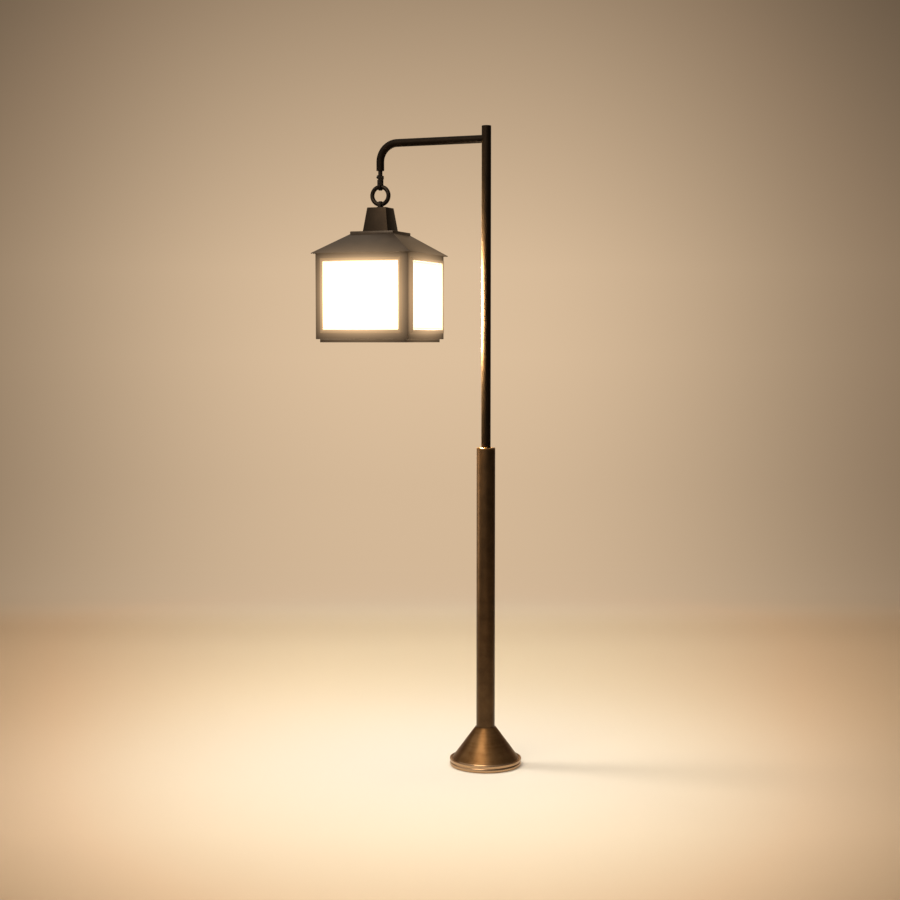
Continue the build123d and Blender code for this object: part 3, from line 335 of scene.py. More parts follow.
def opal_acrylic(name, colour, glow, strength):
    """Opal acrylic sheet, cast between glass and lit from behind.

    It gives an even white that hides the lamp, a little brighter in the middle, under a polished surface.
    """
    material, add, place = new_finish(name)
    far = off_middle(add, place)
    given = add("MapRange", add("VectorMath LENGTH", far), 108 * MM, 165 * MM, strength, strength * 0.62)
    # To the eye the sheet is just white, with painted shade along the frame at its edges.
    inside = add("VectorMath SUBTRACT", WINDOW_CORNER_M, on_side(add, far))
    inside = add("SeparateXYZ", inside).node.outputs
    to_edge = add("Math MINIMUM", inside["X"], inside["Y"])
    shown_with_painted_shade = add("MapRange", to_edge, 0.0, 9 * MM, 0.75, 2.2)
    light = add("Mix", add("LightPath", out="Is Camera Ray"), given, shown_with_painted_shade)
    # Cast sheet has a faint ripple, about 20 mm from crest to crest.
    ripple = add("TexNoise", place, Scale=per_mm(20.0), Detail=1.0)
    end_finish(add, Base_Color=colour, Roughness=0.18, IOR=1.49, Emission_Color=glow, Emission_Strength=light,
               Normal=add("Bump", Strength=0.1, Distance=0.1 * MM, Height=ripple))
    return material


def plain_metal(name, hex_light, hex_dark, roughness, metallic=1.0, size=2.5, depth=0.02):
    """Plated, cast or machined metal: two close tones in fine spots, and a surface as rough as it was left."""
    material, add, place = new_finish(name)
    spots = add("TexNoise", place, Scale=per_mm(size), Detail=4.0, Roughness=0.6)
    end_finish(add, Metallic=metallic, **surface(
        add, spots, [(0.32, linear(hex_dark)), (0.64, linear(hex_light))], spots,
        (roughness - 0.07, roughness + 0.08), spots, 0.4, depth))
    return material


def moulded(name, hex_light, hex_dark, roughness, ior, size=0.8, depth=0.03, clearcoat=0.0):
    """Moulded plastic or rubber: nearly one tone, with the fine spark-eroded grain of its mould."""
    material, add, place = new_finish(name)
    grain = add("TexNoise", place, Scale=per_mm(size), Detail=2.0)
    dust = add("TexNoise", place, Scale=per_mm(14.0), Detail=4.0)
    end_finish(add, IOR=ior, Coat_Weight=clearcoat, **surface(
        add, dust, [(0.35, linear(hex_dark)), (0.68, linear(hex_light))], grain,
        (roughness - 0.06, roughness + 0.06), grain, 0.35, depth))
    return material


def led_board_finish(name):
    """White solder mask on an aluminium-backed board, with yellow phosphor over the chips.

    The chips stand 0.8 mm proud of the board, so the phosphor is picked by how far a point is from the core.
    """
    material, add, place = new_finish(name)
    axes = add("SeparateXYZ", off_middle(add, place)).node.outputs
    depth = add("Math MAXIMUM", axes["X"], axes["Y"])
    chip = add("Math GREATER_THAN", depth, 13.7 * MM)
    tracks = add("TexBrick", place, linear("#E9EBE4"), linear("#DFE2DA"), linear("#C9CDC4"),
                 Scale=per_mm(12.0), Mortar_Size=0.01)
    tone = add("Mix", chip, tracks, linear("#E8C65A"), data_type="RGBA")
    end_finish(add, Base_Color=tone, Roughness=0.45, Emission_Color=linear("#FFE9C8"), Emission_Strength=chip)
    return material


FINISHES = {}


def make_finishes(settings):
    """Makes every finish once, from the settings."""
    post, lantern = settings.post, settings.lantern
    # Painted glow of the panes' light: its warm colour and strength for the roof, the frame and the glazing.
    coat, warm, painted_spill = lantern.coat_colour, lantern.painted_spill_colour, lantern.painted_spill_strength
    FINISHES.update({
        "thick_tube": powder_coat("Bronze powder coat on drawn tube", post.lower_colour, 0.70, 0.36, 0.85),
        "thin_tube": powder_coat("Dark bronze powder coat on drawn tube", post.upper_colour, 0.72, 0.58, 0.85,
                                 depth=0.004),
        "hook_steel": powder_coat("Blackened and waxed steel", lantern.hook_colour, 0.70, 0.42, 0.80, grain=1.0),
        "spun_cover": spun_bronze("Spun bronze sheet, brushed and lacquered", post.cover_colour,
                                  post.cover_dark, post.bead_colour, 0.40),
        "collar": spun_bronze("Turned bronze collar", post.collar_colour, post.cover_colour,
                              post.bead_colour, 0.26),
        # The cap takes the coat at half its brightness: painted shade on the cap.
        "painted_shade_cap_coat": lantern_coat("Bronze coat on the cap, darkened as painted shade", shade(coat, 0.50), warm, 0.0, 24.0,
                                 0.36, 0.85),
        "roof_coat": lantern_coat("Textured bronze coat on the roof sheet", coat, warm, painted_spill * 0.56, 24.0,
                                  0.30),
        "frame_coat": lantern_coat("Textured bronze coat on the frame sheet", coat, warm, painted_spill, 16.0),
        "glazing": anodised_frame("Tan anodised aluminium, brushed", lantern.frame_colour, warm, painted_spill),
        "pane": opal_acrylic("Opal acrylic, cast and polished", lantern.pane_colour, lantern.glow_colour,
                             lantern.pane_strength),
        "diffuser": opal_acrylic("Opal acrylic tube, extruded", lantern.pane_colour, lantern.glow_colour, 2.0),
        "zinc": plain_metal("Zinc plated steel", "#C3C5C2", "#9C9F9D", 0.34),
        "brass": plain_metal("Turned brass", "#C9A054", "#A37C3A", 0.28),
        "aluminium": plain_metal("Milled aluminium", "#BFC1C2", "#9FA2A4", 0.38, size=1.2),
        "cast_iron": plain_metal("Sand-cast iron, primed", "#4A4B4C", "#333435", 0.72, 0.4, 1.6, 0.25),
        "rubber": moulded("Moulded black rubber", "#1C1C1C", "#121212", 0.72, 1.52),
        "nylon": moulded("Moulded black nylon", "#232324", "#19191A", 0.46, 1.53),
        "battery": moulded("Blue shrink film over cells", "#2E4F85", "#223D6B", 0.24, 1.57, 6.0, 0.3, 0.5),
        "board": led_board_finish("White solder mask and phosphor"),
    })


# Pieces

def into_scene(name, data):
    """Puts a mesh, a light or a camera into the scene."""
    made = bpy.data.objects.new(name, data)
    bpy.context.scene.collection.objects.link(made)
    return made


def add_piece(name, shape, finish, body, node, sharp=32.0, bevel=0.0):
    """Makes a mesh piece from a shape in millimetres, which rides a body and stands for a CAD node.

    Round pieces are made about Z. What hangs from the arm is then moved to where the hook hangs.
    """
    verts, faces = shape
    shift = 0.0 if body in ("post", "cover") else HANG_X
    mesh = bpy.data.meshes.new(name)
    mesh.from_pydata([((x + shift) * MM, y * MM, z * MM) for x, y, z in verts], [], faces)
    work = bmesh.new()
    work.from_mesh(mesh)
    bmesh.ops.remove_doubles(work, verts=work.verts, dist=0.002 * MM)
    bmesh.ops.recalc_face_normals(work, faces=work.faces)
    work.to_mesh(mesh)
    work.free()
    mesh.shade_smooth()
    mesh.set_sharp_from_angle(angle=math.radians(sharp))
    mesh.materials.append(FINISHES[finish])
    piece = into_scene(name, mesh)
    if bevel:
        soften(piece, bevel)
    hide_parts(node)
    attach(piece, body)
    return piece


def soften(piece, width, angle=32.0):
    """Breaks a piece's sharp edges by a small width in millimetres."""
    edges = piece.modifiers.new("Broken edges", "BEVEL")
    edges.width = width * MM
    edges.segments = 2
    edges.limit_method = "ANGLE"
    edges.angle_limit = math.radians(angle)
    edges.harden_normals = True
    edges.use_clamp_overlap = True


def dress(finish, bevel, *names):
    """Gives CAD nodes their finish, joins their corners and breaks their edges."""
    for name in names:
        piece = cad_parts[name]
        mesh = piece.data
        if "custom_normal" in mesh.attributes:
            mesh.attributes.remove(mesh.attributes["custom_normal"])
        mesh.shade_smooth()
        mesh.materials.clear()
        mesh.materials.append(FINISHES[finish])
        joined = piece.modifiers.new("Joined corners", "WELD")
        joined.merge_threshold = 0.001 * MM
        soften(piece, bevel, 40.0)


def arc_through(a, b, c, steps):
    """Points on the arc from a through b to c."""
    (ax, ay), (bx, by), (cx, cy) = a, b, c
    d = 2 * (ax * (by - cy) + bx * (cy - ay) + cx * (ay - by))
    aa, bb, cc = (x * x + y * y for x, y in (a, b, c))
    ux = (aa * (by - cy) + bb * (cy - ay) + cc * (ay - by)) / d
    uy = (aa * (cx - bx) + bb * (ax - cx) + cc * (bx - ax)) / d
    radius = math.hypot(ax - ux, ay - uy)
    start, middle, end = (math.atan2(y - uy, x - ux) for x, y in (a, b, c))
    turn = (end - start) % (2 * math.pi)
    if (middle - start) % (2 * math.pi) > turn:
        turn -= 2 * math.pi
    return [(ux + radius * math.cos(a), uy + radius * math.sin(a))
            for a in (start + turn * i / steps for i in range(steps + 1))]


def rounded_outline(points, radius, steps=4):
    """A closed outline whose corners are rounded, as far as its edges allow."""
    out = []
    count = len(points)
    for i, corner in enumerate(points):
        here = Vector(corner)
        back = Vector(points[i - 1]) - here
        ahead = Vector(points[(i + 1) % count]) - here
        angle = back.angle(ahead)
        if angle > math.radians(165):
            out.append(tuple(here))
            continue
        reach = min(radius / math.tan(angle / 2), back.length * 0.45, ahead.length * 0.45)
        first, last = here + back.normalized() * reach, here + ahead.normalized() * reach
        for step in range(steps + 1):
            t = step / steps
            out.append(tuple((1 - t) ** 2 * first + 2 * t * (1 - t) * here + t ** 2 * last))
    return out


def skin(rows, closed=True):
    """Faces that join rows of points one after another: last to first if closed, or else with flat ends."""
    faces = []
    for row, after in zip(rows, rows[1:] + rows[:closed]):
        for i in range(len(row)):
            j = (i + 1) % len(row)
            face = tuple(dict.fromkeys((row[i], row[j], after[j], after[i])))
            if len(face) > 2:
                faces.append(face)
    return faces if closed else faces + [tuple(rows[0]), tuple(rows[-1])]


def turned_piece(outline, steps):
    """A round solid about the Z axis, from a closed outline of (radius, height)."""
    verts, rows = [], []
    for radius, z in outline:
        if radius < 1e-6:
            rows.append([len(verts)] * steps)
            verts.append((0.0, 0.0, z))
            continue
        rows.append(list(range(len(verts), len(verts) + steps)))
        for a in (2 * math.pi * i / steps for i in range(steps)):
            verts.append((radius * math.cos(a), radius * math.sin(a), z))
    return verts, skin(rows)


def swept_rings(rings, closed=False):
    """A solid through rings of equal length, one after another."""
    size = len(rings[0])
    rows = [list(range(r * size, (r + 1) * size)) for r in range(len(rings))]
    return [point for ring in rings for point in ring], skin(rows, closed)


def square_turned_piece(outline, steps=4):
    """As turned_piece, but square in plan: the outline holds (half width, height, corner radius)."""
    rings = []
    for half, z, corner in outline:
        rings.append([])
        for turn in (quarter * math.pi / 2 for quarter in range(4)):
            for a in (math.pi / 2 * i / steps for i in range(steps + 1)):
                x = half - corner + corner * math.cos(a)
                y = half - corner + corner * math.sin(a)
                rings[-1].append((x * math.cos(turn) - y * math.sin(turn),
                                  x * math.sin(turn) + y * math.cos(turn), z))
    return swept_rings(rings, closed=True)


def quarter_turned(shape, quarter):
    """A shape of the front side turned to another side: 1 right, 2 rear, 3 left."""
    turn = Matrix.Rotation(quarter * math.pi / 2, 3, "Z")
    return [turn @ Vector(point) for point in shape[0]], shape[1]


def drill(piece, radius, start, end):
    """Cuts a round hole through a piece, between two points in millimetres."""
    a, b = Vector(start) * MM, Vector(end) * MM
    mesh = bpy.data.meshes.new("drill")
    work = bmesh.new()
    bmesh.ops.create_cone(work, cap_ends=True, segments=40, radius1=radius * MM, radius2=radius * MM,
                          depth=(b - a).length)
    work.to_mesh(mesh)
    work.free()
    bit = into_scene("drill", mesh)
    bit.matrix_world = Matrix.Translation((a + b) / 2) @ (b - a).to_track_quat("Z", "Y").to_matrix().to_4x4()
    cut = piece.modifiers.new("Hole", "BOOLEAN")
    cut.operation = "DIFFERENCE"
    cut.solver = "EXACT"
    cut.object = bit
    bpy.context.view_layer.update()
    made = bpy.data.meshes.new_from_object(piece.evaluated_get(bpy.context.evaluated_depsgraph_get()))
    piece.modifiers.remove(cut)
    piece.data = made
    made.shade_smooth()
    made.set_sharp_from_angle(angle=math.radians(32))
    bpy.data.objects.remove(bit)


def settings_of(context):
    """The scene's settings, with the finishes made."""
    settings = context.scene.post_light
    if not FINISHES:
        make_finishes(settings)
    return settings


# Foot and cover

class POSTLIGHT_OT_foot(bpy.types.Operator):
    """Finishes the cast foot, its gasket and its set screws"""
    bl_idname = "post_light.foot"
    bl_label = "Foot"

    def execute(self, context):
        settings_of(context)
        dress("cast_iron", 0.6, "foot_casting")
        dress("rubber", 0.3, "foot_gasket")
        dress("zinc", 0.15, "foot_set_screws")
        return {"FINISHED"}


class POSTLIGHT_OT_cover(bpy.types.Operator):
    """Makes the spun cone cover with its two rolled beads, and finishes the seal in its neck"""
    bl_idname = "post_light.cover"
    bl_label = "Cone cover"

    def execute(self, context):
        settings = settings_of(context)
        rim_z, top_z = span("base_cover", 2)
        hole = span("lower_post", 0)[1] + 0.3
        # The cone's radius grows by this much for each millimetre below its apex.
        slope, apex_z = 0.73276, 120.6
        foot, foot_z, wall = 76.5, 16.2, 1.5
        radial_wall = wall * math.hypot(1, slope)
        neck = slope * (apex_z - top_z)
        outline = [(hole, top_z - 0.5), (hole + 0.4, top_z), (neck - 0.35, top_z), (neck + 0.15, top_z - 0.45)]
        outline += [(slope * (apex_z - z), z) for z in (74.0, 60.0, 46.0, 32.0, 22.0, 18.0)]
        outline += [(foot - 0.6, foot_z + 0.75)]
        # A hollow, the upper bead over and down to the waist, and the lower bead down to the rim.
        outline += arc_through((foot, foot_z), (78.2, 14.3), (79.6, 15.7), 10)
        outline += arc_through((79.6, 15.7), (80.9, 17.0), (82.2, 15.7), 10)[1:]
        outline += arc_through((82.2, 15.7), (82.2, 12.4), (81.0, 9.6), 10)[1:]
        outline += arc_through((81.0, 9.6), (82.4, 5.2), (81.0, rim_z), 14)[1:]
        hem = foot - 0.5
        outline += [(hem + 1.0, rim_z), (hem + 0.2, rim_z + 0.5), (hem, rim_z + 1.5)]
        outline += [(inner, apex_z - (inner + radial_wall) / slope) for inner in (hem, hole)]
        add_piece("cone_cover", turned_piece(outline, settings.round_steps), "spun_cover", "cover", "base_cover",
                  sharp=40)
        dress("rubber", 0.15, "cover_seal")
        return {"FINISHED"}


# Post and arm

class POSTLIGHT_OT_post(bpy.types.Operator):
    """Makes the two tubes of the post and the plug on top, and finishes the collar, bushes and set screws"""
    bl_idname = "post_light.post"
    bl_label = "Post tubes"

    def execute(self, context):
        settings = settings_of(context)
        edge = settings.post.edge_radius / MM
        screw_heights, screw_radius = (610.0, 690.0, 712.0), 3.0
        for name, node, wall in (("thick_tube", "lower_post", 2.6), ("thin_tube", "upper_post", 2.3)):
            radius = span(node, 0)[1]
            foot_z, top_z = span(node, 2)
            outline = rounded_outline([(radius - wall, foot_z), (radius, foot_z), (radius, top_z),
                                       (radius - wall, top_z)], edge)
            piece = add_piece(name, turned_piece(outline, 96), name, "post", node)
            if node == "lower_post":
                for z in screw_heights:
                    drill(piece, screw_radius, (0, 15, z), (0, 26, z))
        radius = span("post_cap", 0)[1]
        foot_z, top_z = span("post_cap", 2)
        seat_z = top_z - 3.0
        outline = [(0, foot_z), (radius - 2.9, foot_z), (radius - 2.4, foot_z + 0.5), (radius - 2.4, seat_z),
                   (radius - 0.25, seat_z), (radius, seat_z + 0.25), (radius, top_z - 1.3),
                   (radius - 0.15, top_z - 0.95), (radius - 0.5, top_z - 0.72)]
        outline += [(radius * k, top_z - 0.68 * k ** 2) for k in (0.85, 0.7, 0.5, 0.25)] + [(0, top_z)]
        add_piece("post_plug", turned_piece(outline, 96), "thin_tube", "post", "post_cap")
        dress("collar", 0.2, "post_top_bush")
        dress("aluminium", 0.2, "guide_bush")
        dress("hook_steel", 0.15, "post_set_screws")
        return {"FINISHED"}


class POSTLIGHT_OT_arm(bpy.types.Operator):
    """Makes the bent arm tube, cut to fit round the post, and finishes what joins it to the post"""
    bl_idname = "post_light.arm"
    bl_label = "Arm"

    def execute(self, context):
        settings_of(context)
        radius, wall, bend = 9.0, 2.0, 42.0
        sides, bend_steps = 48, 28
        end_z, top_z = span("arm", 2)
        axis_z = top_z - radius
        post_radius = span("upper_post", 0)[1]

        def ring(r, x, z, turned=0.0):
            """One ring of the tube, where its path has turned down by an angle."""
            outward = Vector((-math.sin(turned), 0, math.cos(turned)))
            return [Vector((x, 0, z)) + r * (math.cos(a) * outward + math.sin(a) * Vector((0, 1, 0)))
                    for a in (2 * math.pi * i / sides for i in range(sides))]

        def rings(r):
            """Rings of the tube, from the post's round side to its open end."""
            path = [(x, axis_z, 0.0) for x in (-40.0, -120.0, HANG_X + bend + 0.5)]
            for a in (math.pi / 2 * i / bend_steps for i in range(1, bend_steps + 1)):
                path.append((HANG_X + bend - bend * math.sin(a), axis_z - bend + bend * math.cos(a), a))
            path.append((HANG_X, end_z + 0.4, math.pi / 2))
            first = [Vector((-math.sqrt(post_radius ** 2 - p.y ** 2), p.y, p.z)) for p in ring(r, 0, axis_z)]
            return [first] + [ring(r, *place) for place in path]

        outside, inside = rings(radius), rings(radius - wall)
        lip = [[p.lerp(q, share) - Vector((0, 0, 0.4)) for p, q in zip(outside[-1], inside[-1])]
               for share in (0.15, 0.85)]
        add_piece("arm_tube", swept_rings(outside + lip + inside[::-1], closed=True), "thin_tube", "post", "arm")
        dress("zinc", 0.2, "arm_stud", "post_top_insert", "arm_lock_screw")
        dress("hook_steel", 0.15, "arm_end_bush")
        return {"FINISHED"}


# Swivel, hook and ring

class POSTLIGHT_OT_hook(bpy.types.Operator):
    """Makes the swivel stem, and finishes the hook, its gate and the stem's nut and washer"""
    bl_idname = "post_light.hook"
    bl_label = "Swivel hook"

    def execute(self, context):
        settings_of(context)
        foot_z, top_z = span("swivel_stem", 2)
        hook_top_z = span("hook_body", 2)[1]
        nut_z = span("thrust_washer", 2)[0]
        outline = [(0, foot_z), (2.6, foot_z), (3.0, foot_z + 0.4), (3.0, hook_top_z), (5.0, hook_top_z),
                   (5.0, nut_z), (3.0, nut_z)]
        pitch = 1.0
        z = nut_z
        while z + pitch < top_z - 0.4:
            outline += [(3.0, z + 0.1), (2.55, z + pitch / 2), (3.0, z + pitch - 0.1)]
            z += pitch
        outline += [(3.0, top_z - 0.4), (2.6, top_z), (0, top_z)]
        add_piece("stem", turned_piece(outline, 48), "hook_steel", "hook", "swivel_stem",
                  bevel=0.12)
        dress("hook_steel", 0.35, "hook_body")
        dress("zinc", 0.1, "gate_pin", "gate_spring")
        dress("zinc", 0.2, "stem_nut")
        dress("brass", 0.15, "thrust_washer")
        dress("hook_steel", 0.25, "hook_gate")
        return {"FINISHED"}


class POSTLIGHT_OT_ring(bpy.types.Operator):
    """Makes the forged hanging ring"""
    bl_idname = "post_light.ring"
    bl_label = "Hanging ring"

    def execute(self, context):
        settings_of(context)
        low_z, high_z = span("hanging_ring", 2)
        wire = span("hanging_ring", 1)[1]
        centre_z, radius = (low_z + high_z) / 2, (high_z - low_z) / 2 - wire
        around, sides = 128, 40
        rings = [[((radius + wire * math.cos(b)) * math.cos(a), wire * math.sin(b),
                   centre_z + (radius + wire * math.cos(b)) * math.sin(a))
                  for b in (2 * math.pi * j / sides for j in range(sides))]
                 for a in (2 * math.pi * i / around for i in range(around))]
        add_piece("forged_ring", swept_rings(rings, closed=True), "hook_steel", "ring", "hanging_ring")
        return {"FINISHED"}


# Roof

class POSTLIGHT_OT_roof(bpy.types.Operator):
    """Makes the sheet roof, its flat pan and its cap, and finishes the eye, bridge and nuts"""
    bl_idname = "post_light.roof"
    bl_label = "Roof"

    def execute(self, context):
        settings = settings_of(context)
        bend = settings.lantern.bend_radius / MM
        foot_z, top_z = span("roof_cap", 2)
        foot = span("roof_cap", 1)[1]
        top = 23.5
        wall = 2.0
        cap = [(foot - wall, foot_z, 0.6), (foot - 0.15, foot_z, bend), (foot, foot_z + 0.2, bend),
               (top + 0.12, top_z - 0.8, bend), (top - 0.1, top_z - 0.25, bend), (top - 0.7, top_z, bend),
               (5.0, top_z, 0.5), (5.0, top_z - wall, 0.5), (top - wall, top_z - wall, 0.6)]
        add_piece("cap_hood", square_turned_piece(cap), "painted_shade_cap_coat", "lantern", "roof_cap")
        low_z, high_z = span("roof_plate", 2)
        half = span("roof_plate", 1)[1]
        sheet = 1.6
        pan = [(half - sheet, low_z, 0.8), (half, low_z, bend), (half, high_z - 0.9, bend),
               (half - 0.3, high_z - 0.3, bend), (half - 0.9, high_z, bend), (5.0, high_z, 0.5),
               (5.0, high_z - sheet, 0.5), (half - sheet, high_z - sheet, 0.8)]
        add_piece("roof_pan", square_turned_piece(pan), "roof_coat", "lantern", "roof_plate")
        eave_low_z, roof_top_z = span("roof_shell", 2)
        eave = span("roof_shell", 1)[1]
        drop = 1.46
        eave_z = eave_low_z + drop
        roof = [(eave - 0.35, eave_low_z, 0.7), (eave, eave_low_z + 0.35, 0.9), (eave, eave_z - 0.25, 0.9),
                (eave - 0.3, eave_z + 0.18, 0.9), (half, roof_top_z, 0.9), (5.0, roof_top_z, 0.5),
                (5.0, roof_top_z - drop, 0.5), (half, roof_top_z - drop, 0.7)]
        add_piece("roof_sheet", square_turned_piece(roof), "roof_coat", "lantern", "roof_shell",
                  sharp=22)
        dress("hook_steel", 0.35, "hanger_eye")
        dress("aluminium", 0.3, "hanger_bridge")
        dress("zinc", 0.3, "hanger_nuts")
        return {"FINISHED"}


# Frame, glazing and panes

class POSTLIGHT_OT_frame(bpy.types.Operator):
    """Makes the four folded corner posts and finishes the rails between them"""
    bl_idname = "post_light.frame"
    bl_label = "Lantern frame"

    def execute(self, context):
        settings = settings_of(context)
        bend = settings.lantern.bend_radius / MM
        half, sheet, flange = LANTERN_HALF, 1.6, 13.5
        inner = half - sheet
        outline = [(half - flange, -half)]
        outline += [(half - bend + bend * math.sin(a), -half + bend - bend * math.cos(a))
                    for a in (math.pi / 2 * i / 6 for i in range(7))]
        outline += [(half, -half + flange), (inner, -half + flange), (inner, -inner), (half - flange, -inner)]
        angle = swept_rings([[(x, y, z) for x, y in outline] for z in span("corner_post_front_right", 2)])
        for quarter, corner in enumerate(("front_right", "rear_right", "rear_left", "front_left")):
            add_piece("corner_angle_" + corner, quarter_turned(angle, quarter), "frame_coat", "lantern",
                      "corner_post_" + corner, bevel=0.25)
        dress("frame_coat", 0.25, "top_rails", "bottom_rails")
        return {"FINISHED"}


class POSTLIGHT_OT_glazing(bpy.types.Operator):
    """Makes the four opal panes and finishes the frames and clips that hold them"""
    bl_idname = "post_light.glazing"
    bl_label = "Glazing"

    def execute(self, context):
        settings_of(context)
        half = (span("pane_front", 0)[1] - span("pane_front", 0)[0]) / 2
        back_y, front_y = span("pane_front", 1)[1], span("pane_front", 1)[0]
        low_z, high_z = span("pane_front", 2)
        soft = 0.5
        rings = []
        for y, inset in ((front_y, soft), (front_y + soft * 0.3, soft * 0.3), (front_y + soft, 0.0),
                         (back_y - soft, 0.0), (back_y - soft * 0.3, soft * 0.3), (back_y, soft)):
            loop = rounded_outline([(-half + inset, low_z + inset), (half - inset, low_z + inset),
                                    (half - inset, high_z - inset), (-half + inset, high_z - inset)], 2.0)
            rings.append([(x, y, z) for x, z in loop])
        pane = swept_rings(rings)
        for quarter, side in enumerate(("front", "right", "rear", "left")):
            add_piece("opal_pane_" + side, quarter_turned(pane, quarter), "pane", "lantern",
                      "pane_" + side)
        dress("glazing", 0.2, "glazing_frames")
        dress("zinc", 0.08, "pane_clips")
        return {"FINISHED"}


# Light engine

class POSTLIGHT_OT_engine(bpy.types.Operator):
    """Makes the diffuser tube and finishes the battery, boards, switch, socket and button"""
    bl_idname = "post_light.engine"
    bl_label = "Light engine"

    def execute(self, context):
        settings_of(context)
        low_z, high_z = span("diffuser", 2)
        radius = span("diffuser", 1)[1]
        inner = radius - 2.0
        outline = rounded_outline([(inner, low_z), (radius, low_z), (radius, high_z), (inner, high_z)], 0.3)
        add_piece("diffuser_tube", turned_piece(outline, 96), "diffuser", "lantern", "diffuser")
        dress("battery", 0.4, "battery_pack")
        dress("aluminium", 0.25, "engine_plate", "led_core")
        dress("board", 0.1, "led_boards", "driver_board")
        dress("nylon", 0.25, "diffuser_cap", "switch_body")
        dress("zinc", 0.08, "cap_screws", "charge_socket", "button_spring")
        dress("rubber", 0.3, "power_button")
        return {"FINISHED"}


# Hatch

class POSTLIGHT_OT_hatch(bpy.types.Operator):
    """Finishes the bottom hatch with its seal, magnets and hinge"""
    bl_idname = "post_light.hatch"
    bl_label = "Bottom hatch"

    def execute(self, context):
        settings_of(context)
        dress("frame_coat", 0.25, "hatch_tray", "hinge_fixed_leaf")
        dress("rubber", 0.3, "hatch_seal")
        dress("zinc", 0.2, "hatch_magnets", "hatch_keepers", "hinge_pin")
        return {"FINISHED"}


# Stage

CAMERA_PLACE_M = Vector((1.20739, -3.42476, 0.9759))
CAMERA_FORWARD = Vector((-0.3528023, 0.9331716, -0.0687118))
CAMERA_RIGHT = Vector((0.9353823, 0.3536381, 0.0))
CAMERA_LENS = 64.0
ROOM_FORWARD = Vector((CAMERA_FORWARD.x, CAMERA_FORWARD.y, 0.0)).normalized()


def paper_finish(stage):
    """Seamless paper, matt, with a painted pool of light round the post and a painted falloff to a warm tan away
    from it and up the wall.
    """
    material, add, place = new_finish("Seamless paper, matt")
    right = add("VectorMath DOT_PRODUCT", place, CAMERA_RIGHT)
    depth = add("VectorMath DOT_PRODUCT", place, ROOM_FORWARD)
    height = add("SeparateXYZ", place, out="Z")
    # Painted falloff of light: it falls away to both sides, over a width that grows towards the wall.
    aside = add("Math ADD", add("Math MULTIPLY_ADD", depth, 0.03, right), 0.12)
    width = add("Math MULTIPLY_ADD", add("Math MINIMUM", depth, 2.5), 0.27, 1.02)
    width = add("Math MAXIMUM", width, 0.62)
    painted_falloff = add("Math POWER", add("Math DIVIDE", add("Math ABSOLUTE", aside), width), 2.5)
    painted_falloff = add("Math EXPONENT", add("Math MULTIPLY", painted_falloff, -1.0))
    painted_falloff = add("Math MULTIPLY_ADD", painted_falloff, 0.75, 0.25)
    # The painted falloff also changes with the depth of the floor and with the height of the wall.
    along = add("ValToRGB", add("MapRange", depth, -1.0, 3.0), stops=[
        (0.0, 0.62), (0.05, 0.72), (0.12, 0.84), (0.20, 0.87), (0.60, 0.88), (0.72, 0.83), (0.83, 0.64),
        (0.95, 0.47)])
    up = add("ValToRGB", add("MapRange", height, 0.0, 3.0), stops=[
        (0.0, 0.48), (0.12, 0.485), (0.30, 0.53), (0.43, 0.52), (0.82, 0.27)])
    ground = add("ValToRGB", add("Math MULTIPLY", along, painted_falloff), stops=[
        (0.0, 0.0), (0.19, stage.shade_colour), (0.56, stage.edge_colour), (0.88, stage.painted_falloff_tint)])
    upright = add("ValToRGB", add("Math MULTIPLY", up, painted_falloff), stops=[
        (0.0, 0.0), (0.19, stage.shade_colour), (0.53, stage.wall_colour)])
    # Round the foot of the post a painted pool of light makes the floor palest.
    glow = add("Math POWER", add("VectorMath DISTANCE", place, (-0.094, -0.035, 0.0)), 2.0)
    glow = add("Math EXPONENT", add("Math MULTIPLY", glow, -2.2))
    ground = add("Mix", glow, ground, stage.floor_colour, data_type="RGBA")
    off_floor = add("MapRange", depth, 2.0, 2.8, interpolation_type="SMOOTHSTEP")
    paper = add("Mix", off_floor, ground, upright, data_type="RGBA")
    # Far from the post the eye sees the paper's painted colour and falloff, whatever light reaches it.
    rays = add("LightPath").node.outputs
    seen = add("Math MAXIMUM", rays["Is Camera Ray"], rays["Is Glossy Ray"])
    seen = add("Math MAXIMUM", seen, rays["Is Transmission Ray"])
    away = add("MapRange", depth, 1.7, 2.7, interpolation_type="SMOOTHSTEP")
    seen = add("Math MULTIPLY", seen, away)
    matt, plain = add("BsdfDiffuse", paper), add("Emission", paper)
    add("OutputMaterial", add("MixShader", seen, matt, plain))
    return material


def lay_paper(stage):
    """Lays one sheet of paper over the floor, round a bend and up behind the post."""
    flat_end, bend, bend_steps = 2.3, 1.2, 24
    line = [(depth, 0.0) for depth in (-9.0, -4.0, -1.5, 0.0, 1.2, flat_end)]
    for i in range(1, bend_steps + 1):
        a = math.pi / 2 * i / bend_steps
        line.append((flat_end + bend * math.sin(a), bend - bend * math.cos(a)))
    line += [(flat_end + bend, height) for height in (2.4, 5.0)]
    columns = (-9.0, -4.5, 0.0, 4.5, 9.0)
    verts = [ROOM_FORWARD * depth + CAMERA_RIGHT * across + Vector((0, 0, height))
             for depth, height in line for across in columns]
    size = len(columns)
    faces = [(a, a + 1, a + 1 + size, a + size) for row in range(len(line) - 1)
             for a in range(row * size, row * size + size - 1)]
    mesh = bpy.data.meshes.new("seamless_paper")
    mesh.from_pydata(verts, [], faces)
    mesh.shade_smooth()
    mesh.materials.append(paper_finish(stage))
    into_scene("seamless_paper", mesh)


